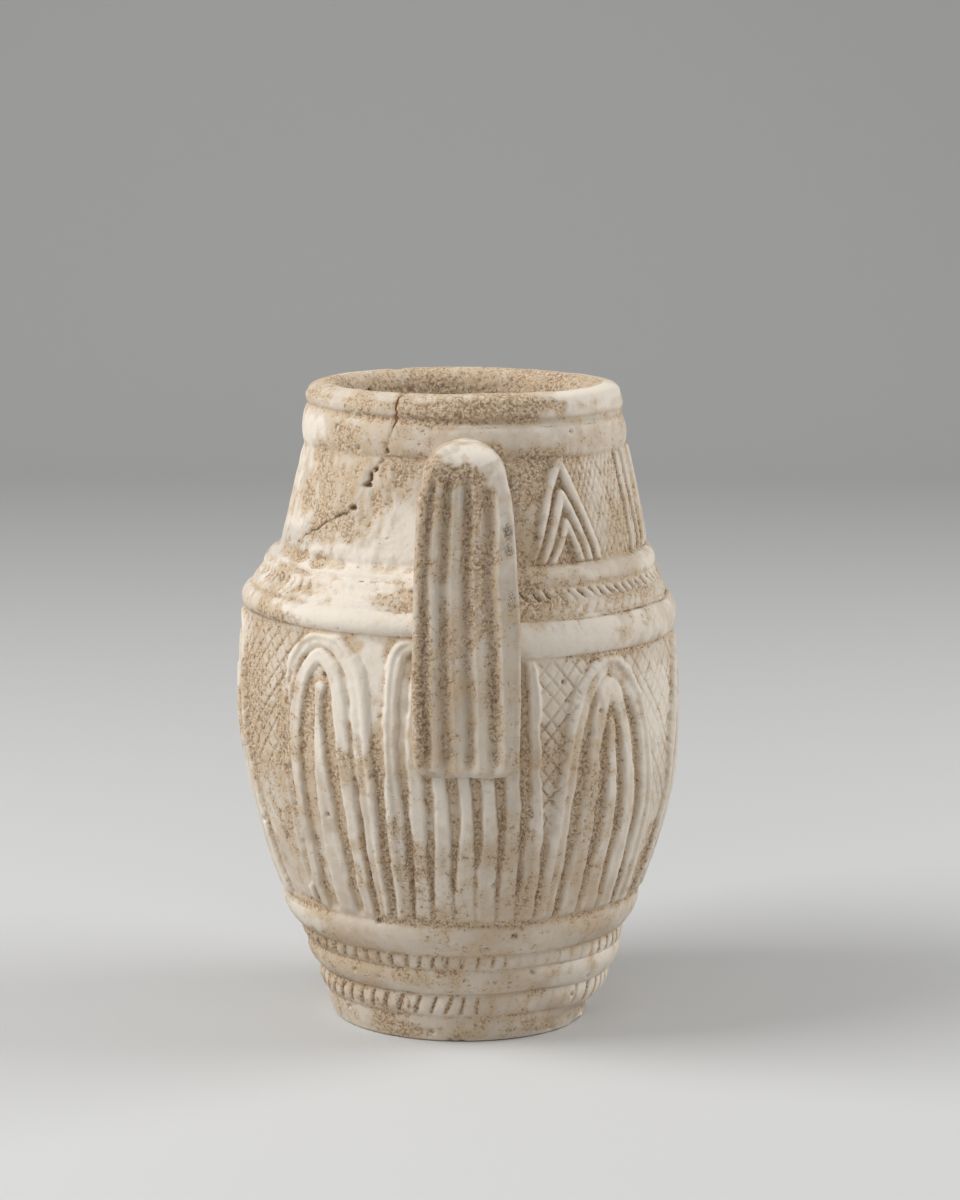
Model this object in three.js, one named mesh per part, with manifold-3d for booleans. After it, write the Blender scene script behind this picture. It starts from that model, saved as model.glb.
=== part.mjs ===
// Carved limestone amphora with two fluted strap handles. Its neck was broken once and two sherds
// of it are glued back. Millimetres, +Z up, origin at the centre of the foot, front handle at -Y.

import * as THREE from 'three';
import { mergeVertices } from 'three/addons/utils/BufferGeometryUtils.js';
import Module from 'manifold-3d';

const wasm = await Module();
wasm.setup();

// Overall sizes
const vesselHeight = 220;
const bellyRadius = 75.6;
const mouthRadius = 41;

// Heights of the mouldings from the foot up; the belly takes what is left of the vessel's height
const footHeight = 9.5;
const footBeadHeight = 8.3;
const footRollHeight = 9.5;
const upperBeadHeight = 5.7;
const lowerRingHeight = 11.6;
const shoulderRollHeight = 12.5;
const notchBandHeight = 9;
const shoulderRingHeight = 6.5;
const neckSlopeHeight = 35;
const neckRingHeight = 12.2;
const lipHeight = 8.8;

// Radii where one moulding meets the next, as steps in from the belly or out from the neck
const footInset = 30.6;
const footTopInset = 28.6;
const footBeadInset = 26.8;
const footRollInset = 22.4;
const upperBeadInset = 20.1;
const lowerRingInset = 14.2;
const bellyTopInset = 2.5;
const shoulderRollInset = 4.4;
const notchBandInset = 8.8;
const neckWall = 13.4;
const neckFlare = 7.8;
const neckGrooveDepth = 1.2;
const lipWall = 12.4;

// How far each moulding swells beyond the line between its two edges
const footEdgeRounding = 1.4;
const footBeadBulge = 1.6;
const footRollBulge = 1.9;
const upperBeadBulge = 1.1;
const lowerRingBulge = 2.3;
const shoulderRollBulge = 2.4;
const shoulderRingBulge = 2.2;
const neckRingBulge = 1.4;
const lipBulge = 1.7;

// The hollow
const floorThickness = 22;
const bellyWall = 16;
const cavityFloorRadius = 34;
const lipRounding = 4;

// The handles
const handleCrownWidth = 30.2;
const handleFootWidth = 34.8;
const handleCornerRadius = 6;
const handleRise = 7.3;
const handleStandout = 4.6;
const handleCrownLift = 3.6;
const handleCrownRounding = 12;
const handleFootRounding = 2.6;
const strapThickness = 7.6;
const fingerGapFloor = 4;
const fingerGapCrown = 10.5;
const fingerGapRounding = 4;
const fluteRadius = 1.9;
const fluteDepth = 1.3;
const fluteMargin = 5;

// The broken neck
const breakWidth = 1;
const glueThickness = 0.4;
const glueRecess = 0.5;

// Clearance between pieces that touch, and the overrun of every cut
const clearance = 0.3;
const overrun = 6;

// Places along the belly and across the strap, as shares of them
const bellyWidestShare = 0.69;
const lowerBellyPullShare = 0.43;
const upperBellyPullShare = 0.55;
const handleFootShare = 0.585;
const fluteShares = [0.14, 0.31, 0.52, 0.74];

// The break as pairs: share of a full turn, from the front handle leftwards, and share of the
// height from the shoulder ring to the rim
const neckBreakShares = [
  [0.056, 1.12], [0.066, 0.91], [0.078, 0.77], [0.085, 0.65], [0.096, 0.57], [0.115, 0.47],
  [0.135, 0.32], [0.151, 0.24], [0.170, 0.09], [0.181, 0.05], [0.197, 0.07], [0.236, 0.03],
  [0.278, 0.08], [0.328, 0.02], [0.378, 0.09], [0.422, 0.14], [0.458, 0.24], [0.489, 0.46],
  [0.511, 0.71], [0.522, 0.89], [0.532, 1.12],
];
const sherdBreakShares = [
  [0.402, -0.1], [0.409, 0.11], [0.404, 0.3], [0.418, 0.47], [0.414, 0.68], [0.424, 0.86], [0.420, 1.12],
];

// Facets: round the axis, along a moulding, along the longer curves and round the block between sherds
const turnSteps = 60;
const mouldingSteps = 4;
const longFacet = 10;
const sherdTurnSteps = 9;

const fullTurn = 2 * Math.PI;

// Levels where one moulding ends and the next begins
const footTop = footHeight;
const footBeadTop = footTop + footBeadHeight;
const footRollTop = footBeadTop + footRollHeight;
const upperBeadTop = footRollTop + upperBeadHeight;
const lowerRingTop = upperBeadTop + lowerRingHeight;
const lipBase = vesselHeight - lipHeight;
const neckRingBase = lipBase - neckRingHeight;
const shoulderRingTop = neckRingBase - neckSlopeHeight;
const notchBandTop = shoulderRingTop - shoulderRingHeight;
const shoulderRollTop = notchBandTop - notchBandHeight;
const bellyTop = shoulderRollTop - shoulderRollHeight;
const bellyHeight = bellyTop - lowerRingTop;
const bellyWidest = lowerRingTop + bellyWidestShare * bellyHeight;

// Radii of the neck
const neckRadius = mouthRadius + neckWall;
const neckGrooveRadius = neckRadius - neckGrooveDepth;
const neckBaseRadius = neckRadius + neckFlare;
const lipRadius = mouthRadius + lipWall;

// Joins and cuts

function solidOf(geometry) {
  const bare = geometry.clone();
  bare.deleteAttribute('normal');
  bare.deleteAttribute('uv');
  const merged = mergeVertices(bare);
  const corners = merged.index.array;
  const kept = [];
  for (let i = 0; i < corners.length; i += 3) {
    const [a, b, c] = [corners[i], corners[i + 1], corners[i + 2]];
    if (a !== b && b !== c && c !== a) {
      kept.push(a, b, c);
    }
  }
  return new wasm.Manifold(new wasm.Mesh({
    numProp: 3,
    vertProperties: new Float32Array(merged.attributes.position.array),
    triVerts: new Uint32Array(kept),
  }));
}

function geometryOf(solid) {
  const mesh = solid.getMesh();
  const geometry = new THREE.BufferGeometry();
  geometry.setAttribute('position', new THREE.BufferAttribute(new Float32Array(mesh.vertProperties), 3));
  geometry.setIndex(new THREE.BufferAttribute(new Uint32Array(mesh.triVerts), 1));
  const flat = geometry.toNonIndexed();
  flat.computeVertexNormals();
  return flat;
}

// The vessel's outline: x is the radius and y the height

// A moulding swells from where the outline is to the next edge
function swellTo(path, radius, height, bulge) {
  const start = path.currentPoint;
  const middle = new THREE.Vector2((start.x + radius) / 2, (start.y + height) / 2);
  const outward = new THREE.Vector2(height - start.y, start.x - radius).normalize();
  middle.addScaledVector(outward, 2 * bulge);
  path.quadraticCurveTo(middle.x, middle.y, radius, height);
}

// Points along every curve of a path; a straight line needs only its ends
function pointsOf(path) {
  const points = [];
  for (const curve of path.curves) {
    const curvedSteps = Math.max(mouldingSteps, Math.round(curve.getLength() / longFacet));
    const along = curve.getPoints(curve.type === 'LineCurve' ? 1 : curvedSteps);
    points.push(...(points.length ? along.slice(1) : along));
  }
  return points;
}

// The outside from the foot to the rim
function outerPath() {
  const path = new THREE.Path();
  const foot = bellyRadius - footInset;
  path.moveTo(0, 0);
  path.lineTo(foot - footEdgeRounding, 0);
  path.quadraticCurveTo(foot, 0, foot, footEdgeRounding);
  path.lineTo(bellyRadius - footTopInset, footTop);
  swellTo(path, bellyRadius - footBeadInset, footBeadTop, footBeadBulge);
  swellTo(path, bellyRadius - footRollInset, footRollTop, footRollBulge);
  swellTo(path, bellyRadius - upperBeadInset, upperBeadTop, upperBeadBulge);
  swellTo(path, bellyRadius - lowerRingInset, lowerRingTop, lowerRingBulge);
  const lowerPull = bellyWidest - lowerBellyPullShare * (bellyWidest - lowerRingTop);
  path.quadraticCurveTo(bellyRadius, lowerPull, bellyRadius, bellyWidest);
  const upperPull = bellyWidest + upperBellyPullShare * (bellyTop - bellyWidest);
  path.quadraticCurveTo(bellyRadius, upperPull, bellyRadius - bellyTopInset, bellyTop);
  swellTo(path, bellyRadius - shoulderRollInset, shoulderRollTop, shoulderRollBulge);
  path.lineTo(bellyRadius - notchBandInset, notchBandTop);
  swellTo(path, neckBaseRadius, shoulderRingTop, shoulderRingBulge);
  path.lineTo(neckRadius, neckRingBase);
  swellTo(path, neckGrooveRadius, lipBase, neckRingBulge);
  swellTo(path, lipRadius, vesselHeight - lipRounding, lipBulge);
  return path;
}

// The lip rolls over into the bore; the hollow widens under the neck and closes on a thick floor
function innerPathOn(path) {
  const lipMiddle = mouthRadius + lipWall / 2;
  const cavityRadius = bellyRadius - bellyWall;
  path.quadraticCurveTo(lipRadius, vesselHeight, lipMiddle, vesselHeight);
  path.quadraticCurveTo(mouthRadius, vesselHeight, mouthRadius, lipBase);
  path.lineTo(mouthRadius, neckRingBase);
  path.quadraticCurveTo(mouthRadius, notchBandTop, (mouthRadius + cavityRadius) / 2, shoulderRollTop);
  path.quadraticCurveTo(cavityRadius, bellyTop, cavityRadius, bellyWidest);
  path.quadraticCurveTo(cavityRadius, floorThickness, cavityFloorRadius, floorThickness);
  path.lineTo(0, floorThickness);
}

function revolve(points) {
  return solidOf(new THREE.LatheGeometry(points, turnSteps).rotateX(Math.PI / 2));
}

function vesselSolid() {
  const path = outerPath();
  innerPathOn(path);
  return revolve(pointsOf(path));
}

// A line of points moved sideways, to its left as it runs
function shiftLine(line, distance) {
  return line.map((point, i) => {
    const before = line[Math.max(i - 1, 0)];
    const after = line[Math.min(i + 1, line.length - 1)];
    const along = after.clone().sub(before).normalize();
    return new THREE.Vector2(point.x - along.y * distance, point.y + along.x * distance);
  });
}

// The outside with no hollow, its surface moved in by the given distance
function vesselForm(distance) {
  const path = outerPath();
  path.lineTo(lipRadius, vesselHeight);
  path.lineTo(0, vesselHeight);
  return revolve(shiftLine(pointsOf(path), distance));
}

// The breaks of the neck

const breakBase = shoulderRingTop;
const breakTop = vesselHeight + overrun;
const developedRadius = (neckRadius + neckBaseRadius) / 2;
const blockInner = mouthRadius / 2;
const blockOuter = bellyRadius + overrun;

// A break laid out flat: x is the way round the wall, y the height
function breakLine(shares) {
  return shares.map(([turnShare, heightShare]) => new THREE.Vector2(
    turnShare * fullTurn * developedRadius,
    breakBase + heightShare * (vesselHeight - breakBase),
  ));
}

// A block through the wall between two lines of the flat layout, which have as many points
function wallBlock(near, far, steps) {
  const rows = near.length;
  const columns = steps + 1;
  const positions = [];
  for (const radius of [blockInner, blockOuter]) {
    for (let i = 0; i < rows; i += 1) {
      for (let j = 0; j < columns; j += 1) {
        const point = near[i].clone().lerp(far[i], j / steps);
        const turn = point.x / developedRadius;
        positions.push(-radius * Math.sin(turn), -radius * Math.cos(turn), point.y);
      }
    }
  }
  const at = (layer, i, j) => layer * rows * columns + i * columns + j;
  const faces = [];
  const quad = (a, b, c, d) => faces.push(a, b, c, a, c, d);
  for (let i = 0; i < rows - 1; i += 1) {
    for (let j = 0; j < steps; j += 1) {
      quad(at(0, i, j), at(0, i + 1, j), at(0, i + 1, j + 1), at(0, i, j + 1));
      quad(at(1, i, j), at(1, i, j + 1), at(1, i + 1, j + 1), at(1, i + 1, j));
    }
    quad(at(0, i, 0), at(1, i, 0), at(1, i + 1, 0), at(0, i + 1, 0));
    quad(at(0, i, steps), at(0, i + 1, steps), at(1, i + 1, steps), at(1, i, steps));
  }
  for (let j = 0; j < steps; j += 1) {
    quad(at(0, 0, j), at(0, 0, j + 1), at(1, 0, j + 1), at(1, 0, j));
    quad(at(0, rows - 1, j), at(1, rows - 1, j), at(1, rows - 1, j + 1), at(0, rows - 1, j + 1));
  }
  const geometry = new THREE.BufferGeometry();
  geometry.setAttribute('position', new THREE.Float32BufferAttribute(positions, 3));
  geometry.setIndex(faces);
  return solidOf(geometry);
}

// All of the neck above the break, with its edge moved up by the given distance
function aboveBreak(distance) {
  const near = shiftLine(breakLine(neckBreakShares), distance);
  const far = near.map((point) => new THREE.Vector2(point.x, Math.max(breakTop, point.y + overrun)));
  return wallBlock(near, far, 1);
}

// All of the wall on the front side of the break between the sherds, moved by the given distance
function beforeSherdBreak(distance) {
  const near = shiftLine(breakLine(sherdBreakShares), distance);
  const far = near.map((point) => new THREE.Vector2(0, point.y));
  return wallBlock(near, far, sherdTurnSteps);
}

// The handles

const handleTop = neckRingBase + handleRise;
const handleFoot = lowerRingTop + handleFootShare * bellyHeight;
const faceFootRadius = bellyRadius + handleStandout;
const faceCrownRadius = bellyRadius - bellyTopInset + handleCrownLift;
const faceTop = handleTop - handleCrownRounding;
const faceBottom = handleFoot + handleFootRounding;
const faceLean = Math.atan2(faceFootRadius - faceCrownRadius, faceTop - faceBottom);
const blankInner = neckGrooveRadius / 2;

const sideways = new THREE.Matrix4().makeBasis(
  new THREE.Vector3(0, -1, 0), new THREE.Vector3(0, 0, 1), new THREE.Vector3(-1, 0, 0));
const frontways = new THREE.Matrix4().makeBasis(
  new THREE.Vector3(1, 0, 0), new THREE.Vector3(0, 0, 1), new THREE.Vector3(0, -1, 0));

function extrude(shape, depth, steps) {
  return new THREE.ExtrudeGeometry(shape, { depth, bevelEnabled: false, curveSegments: steps });
}

// Seen from the side: out of the neck, over the crown, down the long face and back to the belly
function handleSide() {
  const shape = new THREE.Shape();
  shape.moveTo(blankInner, handleTop);
  shape.lineTo(faceCrownRadius - handleCrownRounding, handleTop);
  shape.quadraticCurveTo(faceCrownRadius, handleTop, faceCrownRadius, faceTop);
  shape.lineTo(faceFootRadius, faceBottom);
  shape.quadraticCurveTo(faceFootRadius, handleFoot, faceFootRadius - handleFootRounding, handleFoot);
  shape.lineTo(blankInner, handleFoot);
  const width = handleFootWidth + 2 * overrun;
  return solidOf(extrude(shape, width, 8).translate(0, 0, -width / 2).applyMatrix4(sideways));
}

// Seen from the front: a round crown, sides that spread downwards and a squared end
function handleFront() {
  const crown = handleCrownWidth / 2;
  const end = handleFootWidth / 2;
  const corner = handleCornerRadius;
  const shape = new THREE.Shape();
  shape.moveTo(crown, handleTop - crown);
  shape.absarc(0, handleTop - crown, crown, 0, Math.PI, false);
  shape.lineTo(-end, handleFoot + corner);
  shape.quadraticCurveTo(-end, handleFoot, corner - end, handleFoot);
  shape.lineTo(end - corner, handleFoot);
  shape.quadraticCurveTo(end, handleFoot, end, handleFoot + corner);
  const depth = faceFootRadius + overrun;
  return solidOf(extrude(shape, depth, 14).applyMatrix4(frontways));
}

// The way through for a finger, between the neck and the strap
function fingerGap() {
  const floor = shoulderRingTop + fingerGapFloor;
  const crown = handleTop - fingerGapCrown;
  const outer = faceCrownRadius - strapThickness;
  const round = fingerGapRounding;
  const shape = new THREE.Shape();
  shape.moveTo(blankInner - overrun, floor);
  shape.lineTo(outer - round, floor);
  shape.quadraticCurveTo(outer, floor, outer, floor + round);
  shape.lineTo(outer, crown - round);
  shape.quadraticCurveTo(outer, crown, outer - round, crown);
  shape.lineTo(blankInner - overrun, crown);
  const width = handleFootWidth + 2 * overrun;
  return solidOf(extrude(shape, width, 4).translate(0, 0, -width / 2).applyMatrix4(sideways));
}

// One flute: a round-ended channel sunk in the face at a share of the strap's width
function flute(share) {
  const length = faceTop - faceBottom - 2 * fluteMargin;
  const middle = (faceTop + faceBottom) / 2;
  const middleRadius = (faceFootRadius + faceCrownRadius) / 2;
  const channel = new THREE.CapsuleGeometry(fluteRadius, length, 3, 10).rotateX(Math.PI / 2);
  channel.rotateX(-faceLean);
  const across = (share - 1 / 2) * (handleCrownWidth + handleFootWidth) / 2;
  return solidOf(channel.translate(across, -(middleRadius + fluteRadius - fluteDepth), middle));
}

function handleSolid() {
  let handle = handleSide().intersect(handleFront()).subtract(vesselForm(-clearance));
  handle = handle.subtract(fingerGap());
  for (const share of fluteShares) {
    handle = handle.subtract(flute(share));
  }
  return handle;
}

// The pieces

const limestone = new THREE.MeshStandardMaterial({ color: 0xdccfb9, roughness: 0.88, metalness: 0 });
const wornLimestone = new THREE.MeshStandardMaterial({ color: 0xe8e0d0, roughness: 0.82, metalness: 0 });
const oldGlue = new THREE.MeshStandardMaterial({ color: 0x8c5a34, roughness: 0.5, metalness: 0 });

const amphora = new THREE.Group();

function addPiece(name, solid, material, turn) {
  const mesh = new THREE.Mesh(geometryOf(solid), material);
  mesh.name = name;
  mesh.rotation.z = turn;
  amphora.add(mesh);
}

const wall = vesselSolid();
const halfBreak = breakWidth / 2;
const halfGlue = glueThickness / 2;

addPiece('vessel_body', wall.subtract(aboveBreak(-halfBreak)), limestone, 0);

const brokenNeck = wall.intersect(aboveBreak(halfBreak));
addPiece('neck_sherd_left', brokenNeck.intersect(beforeSherdBreak(halfBreak)), limestone, 0);
addPiece('neck_sherd_back', brokenNeck.subtract(beforeSherdBreak(-halfBreak)), limestone, 0);

const handle = handleSolid();
addPiece('handle_front', handle, wornLimestone, 0);
addPiece('handle_back', handle, wornLimestone, Math.PI);

// The glue lies between the broken faces and a little below the surface, in three runs that meet
// where the two sherds and the neck come together
const glueWall = wall.intersect(vesselForm(glueRecess));
const glueUnderSherds = glueWall.intersect(aboveBreak(-halfGlue)).subtract(aboveBreak(halfGlue));
addPiece('glue_left', glueUnderSherds.intersect(beforeSherdBreak(halfBreak)), oldGlue, 0);
addPiece('glue_back', glueUnderSherds.subtract(beforeSherdBreak(-halfBreak)), oldGlue, 0);
const glueBetween = glueWall.intersect(beforeSherdBreak(-halfGlue)).subtract(beforeSherdBreak(halfGlue));
addPiece('glue_between', glueBetween.intersect(aboveBreak(halfBreak)), oldGlue, 0);

export default amphora;
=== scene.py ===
import math
from types import SimpleNamespace
import bpy
import numpy as np
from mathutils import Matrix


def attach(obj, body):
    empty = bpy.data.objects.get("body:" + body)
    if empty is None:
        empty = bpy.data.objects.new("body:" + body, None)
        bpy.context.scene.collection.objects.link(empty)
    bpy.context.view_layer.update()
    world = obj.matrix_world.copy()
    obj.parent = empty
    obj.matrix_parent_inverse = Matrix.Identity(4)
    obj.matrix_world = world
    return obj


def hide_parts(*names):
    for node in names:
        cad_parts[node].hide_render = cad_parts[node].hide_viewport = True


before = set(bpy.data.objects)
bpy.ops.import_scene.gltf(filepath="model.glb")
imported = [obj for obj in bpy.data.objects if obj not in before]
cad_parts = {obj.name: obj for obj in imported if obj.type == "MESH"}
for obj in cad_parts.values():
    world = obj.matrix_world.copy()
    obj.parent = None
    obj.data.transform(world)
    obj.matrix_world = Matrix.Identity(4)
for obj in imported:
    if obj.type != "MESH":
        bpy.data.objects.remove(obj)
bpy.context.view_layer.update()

# The stand: a camera a little above the rim that looks down on the front handle, a pale floor that
# sweeps up behind the vessel, and soft lamps. Shapes are worked out in millimetres and put into the
# meshes in metres.

METRES = 0.001
IMAGE_HEIGHT = 1200
SENSOR_HEIGHT = 36.0
FOCAL_PIXELS = 3383
CAMERA_DISTANCE = 1150
CAMERA_HEIGHT = 330
CAMERA_OFFSET = 4.6
CAMERA_TURN = math.radians(-1.2)
CAMERA_PITCH = math.radians(9.18)
CAMERA_ROLL = math.radians(-0.4)

camera = bpy.data.objects.new("camera", bpy.data.cameras.new("camera"))
bpy.context.scene.collection.objects.link(camera)
bpy.context.scene.camera = camera
camera.data.lens = FOCAL_PIXELS / IMAGE_HEIGHT * SENSOR_HEIGHT
camera.data.sensor_width = SENSOR_HEIGHT
camera.location = (
    METRES * (CAMERA_DISTANCE * math.sin(CAMERA_TURN) + CAMERA_OFFSET * math.cos(CAMERA_TURN)),
    METRES * (CAMERA_OFFSET * math.sin(CAMERA_TURN) - CAMERA_DISTANCE * math.cos(CAMERA_TURN)),
    METRES * CAMERA_HEIGHT,
)
camera.rotation_euler = (math.pi / 2 - CAMERA_PITCH, CAMERA_ROLL, CAMERA_TURN)


def add_node(tree, kind, feeds=None, **settings):
    """Adds a shader node, sets its properties and feeds its inputs with numbers or other sockets."""
    made = tree.nodes.new("ShaderNode" + kind)
    for name, value in settings.items():
        setattr(made, name, value)
    for name, value in (feeds or {}).items():
        if isinstance(value, bpy.types.NodeSocket):
            tree.links.new(value, made.inputs[name])
        else:
            made.inputs[name].default_value = value
    return made


def new_material(name):
    """An empty node material and its Principled shader, which is already wired to the output."""
    material = bpy.data.materials.new(name)
    material.use_nodes = True
    return material, material.node_tree.nodes["Principled BSDF"]


FLOOR_COLOUR = (0.56, 0.56, 0.555, 1)
FLOOR_HALF_WIDTH = 6000
FLOOR_FRONT = -6000
FLOOR_BACK = 1500
SWEEP_RADIUS = 900
SWEEP_TOP = 2600

floor_paint, floor_shader = new_material("matte_paper")
floor_shader.inputs["Base Color"].default_value = FLOOR_COLOUR
floor_shader.inputs["Roughness"].default_value = 0.9
bend = np.linspace(0, math.pi / 2, 33)
sweep_depth = np.concatenate([[FLOOR_FRONT], FLOOR_BACK + SWEEP_RADIUS * np.sin(bend),
                              [FLOOR_BACK + SWEEP_RADIUS]])
sweep_height = np.concatenate([[0], SWEEP_RADIUS * (1 - np.cos(bend)), [SWEEP_TOP]])
sweep_sides = np.array([-FLOOR_HALF_WIDTH, FLOOR_HALF_WIDTH])
sweep_points = np.stack(np.broadcast_arrays(sweep_sides[None, :], sweep_depth[:, None],
                                            sweep_height[:, None]), -1).reshape(-1, 3) * METRES
sweep_faces = [(2 * i, 2 * i + 1, 2 * i + 3, 2 * i + 2) for i in range(len(sweep_depth) - 1)]
floor_mesh = bpy.data.meshes.new("floor")
floor_mesh.from_pydata(sweep_points.tolist(), [], sweep_faces)
floor_mesh.shade_smooth()
floor_mesh.materials.append(floor_paint)
floor = bpy.data.objects.new("floor", floor_mesh)
bpy.context.scene.collection.objects.link(floor)


VESSEL_MIDDLE = 0.11
ROOM_LIGHT = 0.3


def soft_lamp(name, place, size, watts):
    """A square lamp, in metres, that faces the middle of the vessel."""
    lamp = bpy.data.objects.new(name, bpy.data.lights.new(name, "AREA"))
    bpy.context.scene.collection.objects.link(lamp)
    lamp.data.size = size
    lamp.data.energy = watts
    lamp.location = place
    towards = lamp.location.copy()
    towards.z -= VESSEL_MIDDLE
    lamp.rotation_euler = towards.to_track_quat("Z", "Y").to_euler()


soft_lamp("lamp_left", (-1.1, -0.25, 1.15), 0.9, 22)
soft_lamp("lamp_right", (1.25, 0.1, 0.95), 0.9, 14)
soft_lamp("lamp_front", (-0.3, -1.7, 0.9), 1.1, 3.5)
world = bpy.data.worlds.new("room")
bpy.context.scene.world = world
world.use_nodes = True
room_light = world.node_tree.nodes["Background"]
room_light.inputs["Color"].default_value = (1, 1, 1, 1)
room_light.inputs["Strength"].default_value = ROOM_LIGHT
bpy.context.scene.view_settings.view_transform = "Standard"

# The block: one piece of fine cream limestone, turned round its axis and hollowed out. Its outline
# runs from the middle of the underside up the mouldings, over the lip and down the bore into the
# scraped hollow. All the carving is worked out as relief on maps of this wall.

FOOT_RADIUS = 45.0
FOOT_EDGE = 1.4
MOULDING_ROUNDNESS = 0.72
RIM_HEIGHT = 220.0
RIM_RADIUS = 47.2
LIP_RADIUS = 53.4
LIP_WIDEST = 216.0
FOOT_TOP = 9.5
LOWER_BEADS_TOP = 17.8
FOOT_ROLL_TOP = 27.3
UPPER_BEADS_TOP = 33.0
LOWER_RING_TOP = 44.6
BELLY_WIDEST = 107.7
BELLY_TOP = 136.0
SHOULDER_ROLL_TOP = 148.5
NOTCH_BAND_TOP = 157.5
SHOULDER_RING_TOP = 164.0
NECK_RING_BASE = 199.0
LIP_BASE = 211.2
BELLY_RADIUS = 75.6
BORE_RADIUS = 41.0
BORE_FOOT_RADIUS = 50.3
HOLLOW_RADIUS = 59.6
HOLLOW_FLOOR = 22.0
HOLLOW_FLOOR_RADIUS = 34.0
OUTLINE_STEP = 0.25
EDGE_WEAR = 0.45
CREASE_ROWS = 8

# The upper edge of each moulding, as radius and height, and how far the moulding swells.
LOW_MOULDINGS = (
    (FOOT_RADIUS, FOOT_EDGE, 0), (47.0, FOOT_TOP, 0.3), (48.8, LOWER_BEADS_TOP, 1.6),
    (53.2, FOOT_ROLL_TOP, 1.9), (55.5, UPPER_BEADS_TOP, 1.1), (61.4, LOWER_RING_TOP, 2.3))
HIGH_MOULDINGS = (
    (73.1, BELLY_TOP, 0), (71.2, SHOULDER_ROLL_TOP, 2.4), (66.8, NOTCH_BAND_TOP, 0.5),
    (62.2, SHOULDER_RING_TOP, 2.0), (54.4, NECK_RING_BASE, 0.3), (53.2, LIP_BASE, 1.4),
    (LIP_RADIUS, LIP_WIDEST, 0.9))


def mouldings(edges):
    """Mouldings one above the other: from each edge to the next the straight line plus the swelling
    times (4t(1-t)) to the power of the roundness, at right angles to it."""
    t = np.linspace(0, 1, 60)[:, None]
    made = []
    for start, end in zip(edges[:-1], edges[1:]):
        across = np.array(end[:2]) - start[:2]
        outward = np.array([across[1], -across[0]]) / np.hypot(*across)
        swelling = outward * end[2] * (4 * t * (1 - t)) ** MOULDING_ROUNDNESS
        made.append(start[:2] + across * t + swelling)
    return np.vstack(made)


def bend_of(start, pull, end, count=90):
    """A quadratic curve from start to end, drawn towards pull."""
    t = np.linspace(0, 1, count)[:, None]
    start, pull, end = np.array(start), np.array(pull), np.array(end)
    return start * (1 - t) ** 2 + 2 * pull * t * (1 - t) + end * t ** 2


sharp_outline = np.vstack([
    [[0, 0]], bend_of((FOOT_RADIUS - FOOT_EDGE, 0), (FOOT_RADIUS, 0), (FOOT_RADIUS, FOOT_EDGE)),
    mouldings(LOW_MOULDINGS),
    bend_of(LOW_MOULDINGS[-1][:2], (BELLY_RADIUS, 80.6), (BELLY_RADIUS, BELLY_WIDEST)),
    bend_of((BELLY_RADIUS, BELLY_WIDEST), (BELLY_RADIUS, 123.3), HIGH_MOULDINGS[0][:2]),
    mouldings(HIGH_MOULDINGS),
    bend_of((LIP_RADIUS, LIP_WIDEST), (LIP_RADIUS, RIM_HEIGHT), (RIM_RADIUS, RIM_HEIGHT)),
    bend_of((RIM_RADIUS, RIM_HEIGHT), (BORE_RADIUS, RIM_HEIGHT), (BORE_RADIUS, LIP_BASE)),
    bend_of((BORE_RADIUS, NECK_RING_BASE), (BORE_RADIUS, NOTCH_BAND_TOP),
            (BORE_FOOT_RADIUS, SHOULDER_ROLL_TOP)),
    bend_of((BORE_FOOT_RADIUS, SHOULDER_ROLL_TOP), (HOLLOW_RADIUS, BELLY_TOP),
            (HOLLOW_RADIUS, BELLY_WIDEST)),
    bend_of((HOLLOW_RADIUS, BELLY_WIDEST), (HOLLOW_RADIUS, HOLLOW_FLOOR),
            (HOLLOW_FLOOR_RADIUS, HOLLOW_FLOOR)), [[0, HOLLOW_FLOOR]],
])
sharp_reach = np.concatenate([[0], np.cumsum(np.hypot(*np.diff(sharp_outline, axis=0).T))])
outline_reach = np.arange(0, sharp_reach[-1], OUTLINE_STEP)
edge_window = np.exp(-np.linspace(-2, 2, 1 + 2 * round(2 * EDGE_WEAR / OUTLINE_STEP)) ** 2)
edge_window /= edge_window.sum()
crease_window = np.full(2 * CREASE_ROWS + 1, 1 / (2 * CREASE_ROWS + 1))


def smoothed(line, window):
    """A line of points averaged along itself with a window of weights."""
    return np.stack([np.convolve(np.pad(side, len(window) // 2, mode="edge"), window, "valid")
                     for side in line.T], 1)


outline = np.stack([np.interp(outline_reach, sharp_reach, side) for side in sharp_outline.T], 1)
outline = smoothed(outline, edge_window)
outline_slope = np.gradient(outline, outline_reach, axis=0)
above_outline = smoothed(outline, crease_window) - outline
outline_hollow = above_outline[:, 0] * outline_slope[:, 1] - above_outline[:, 1] * outline_slope[:, 0]
rim_row = int(np.argmax(outline[:, 1]))
rim_reach = outline_reach[rim_row]
foot_row = int(np.searchsorted(outline[:, 0], FOOT_RADIUS - FOOT_EDGE))


def at_reach(reach, side):
    """The outline's radius (side 0) or height (side 1) at a reach, which is a distance along it."""
    return np.interp(reach, outline_reach, outline[:, side])


def outside_reach(height):
    """The reach, from the middle of the underside, of a height of the outside."""
    return np.interp(height, outline[foot_row:rim_row, 1], outline_reach[foot_row:rim_row])


def inside_reach(height):
    """The same for a height of the bore and hollow."""
    return np.interp(height, outline[:rim_row:-1, 1], outline_reach[:rim_row:-1])


def outside_radius(height):
    """The plain radius of the outside at a height."""
    return np.interp(height, outline[foot_row:rim_row, 1], outline[foot_row:rim_row, 0])


def step(value, low, high):
    """0 up to low, 1 from high on, and the smooth step 3t^2 - 2t^3 between; low may be the larger."""
    t = np.clip((value - low) / (high - low), 0, 1)
    return t * t * (3 - 2 * t)


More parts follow.
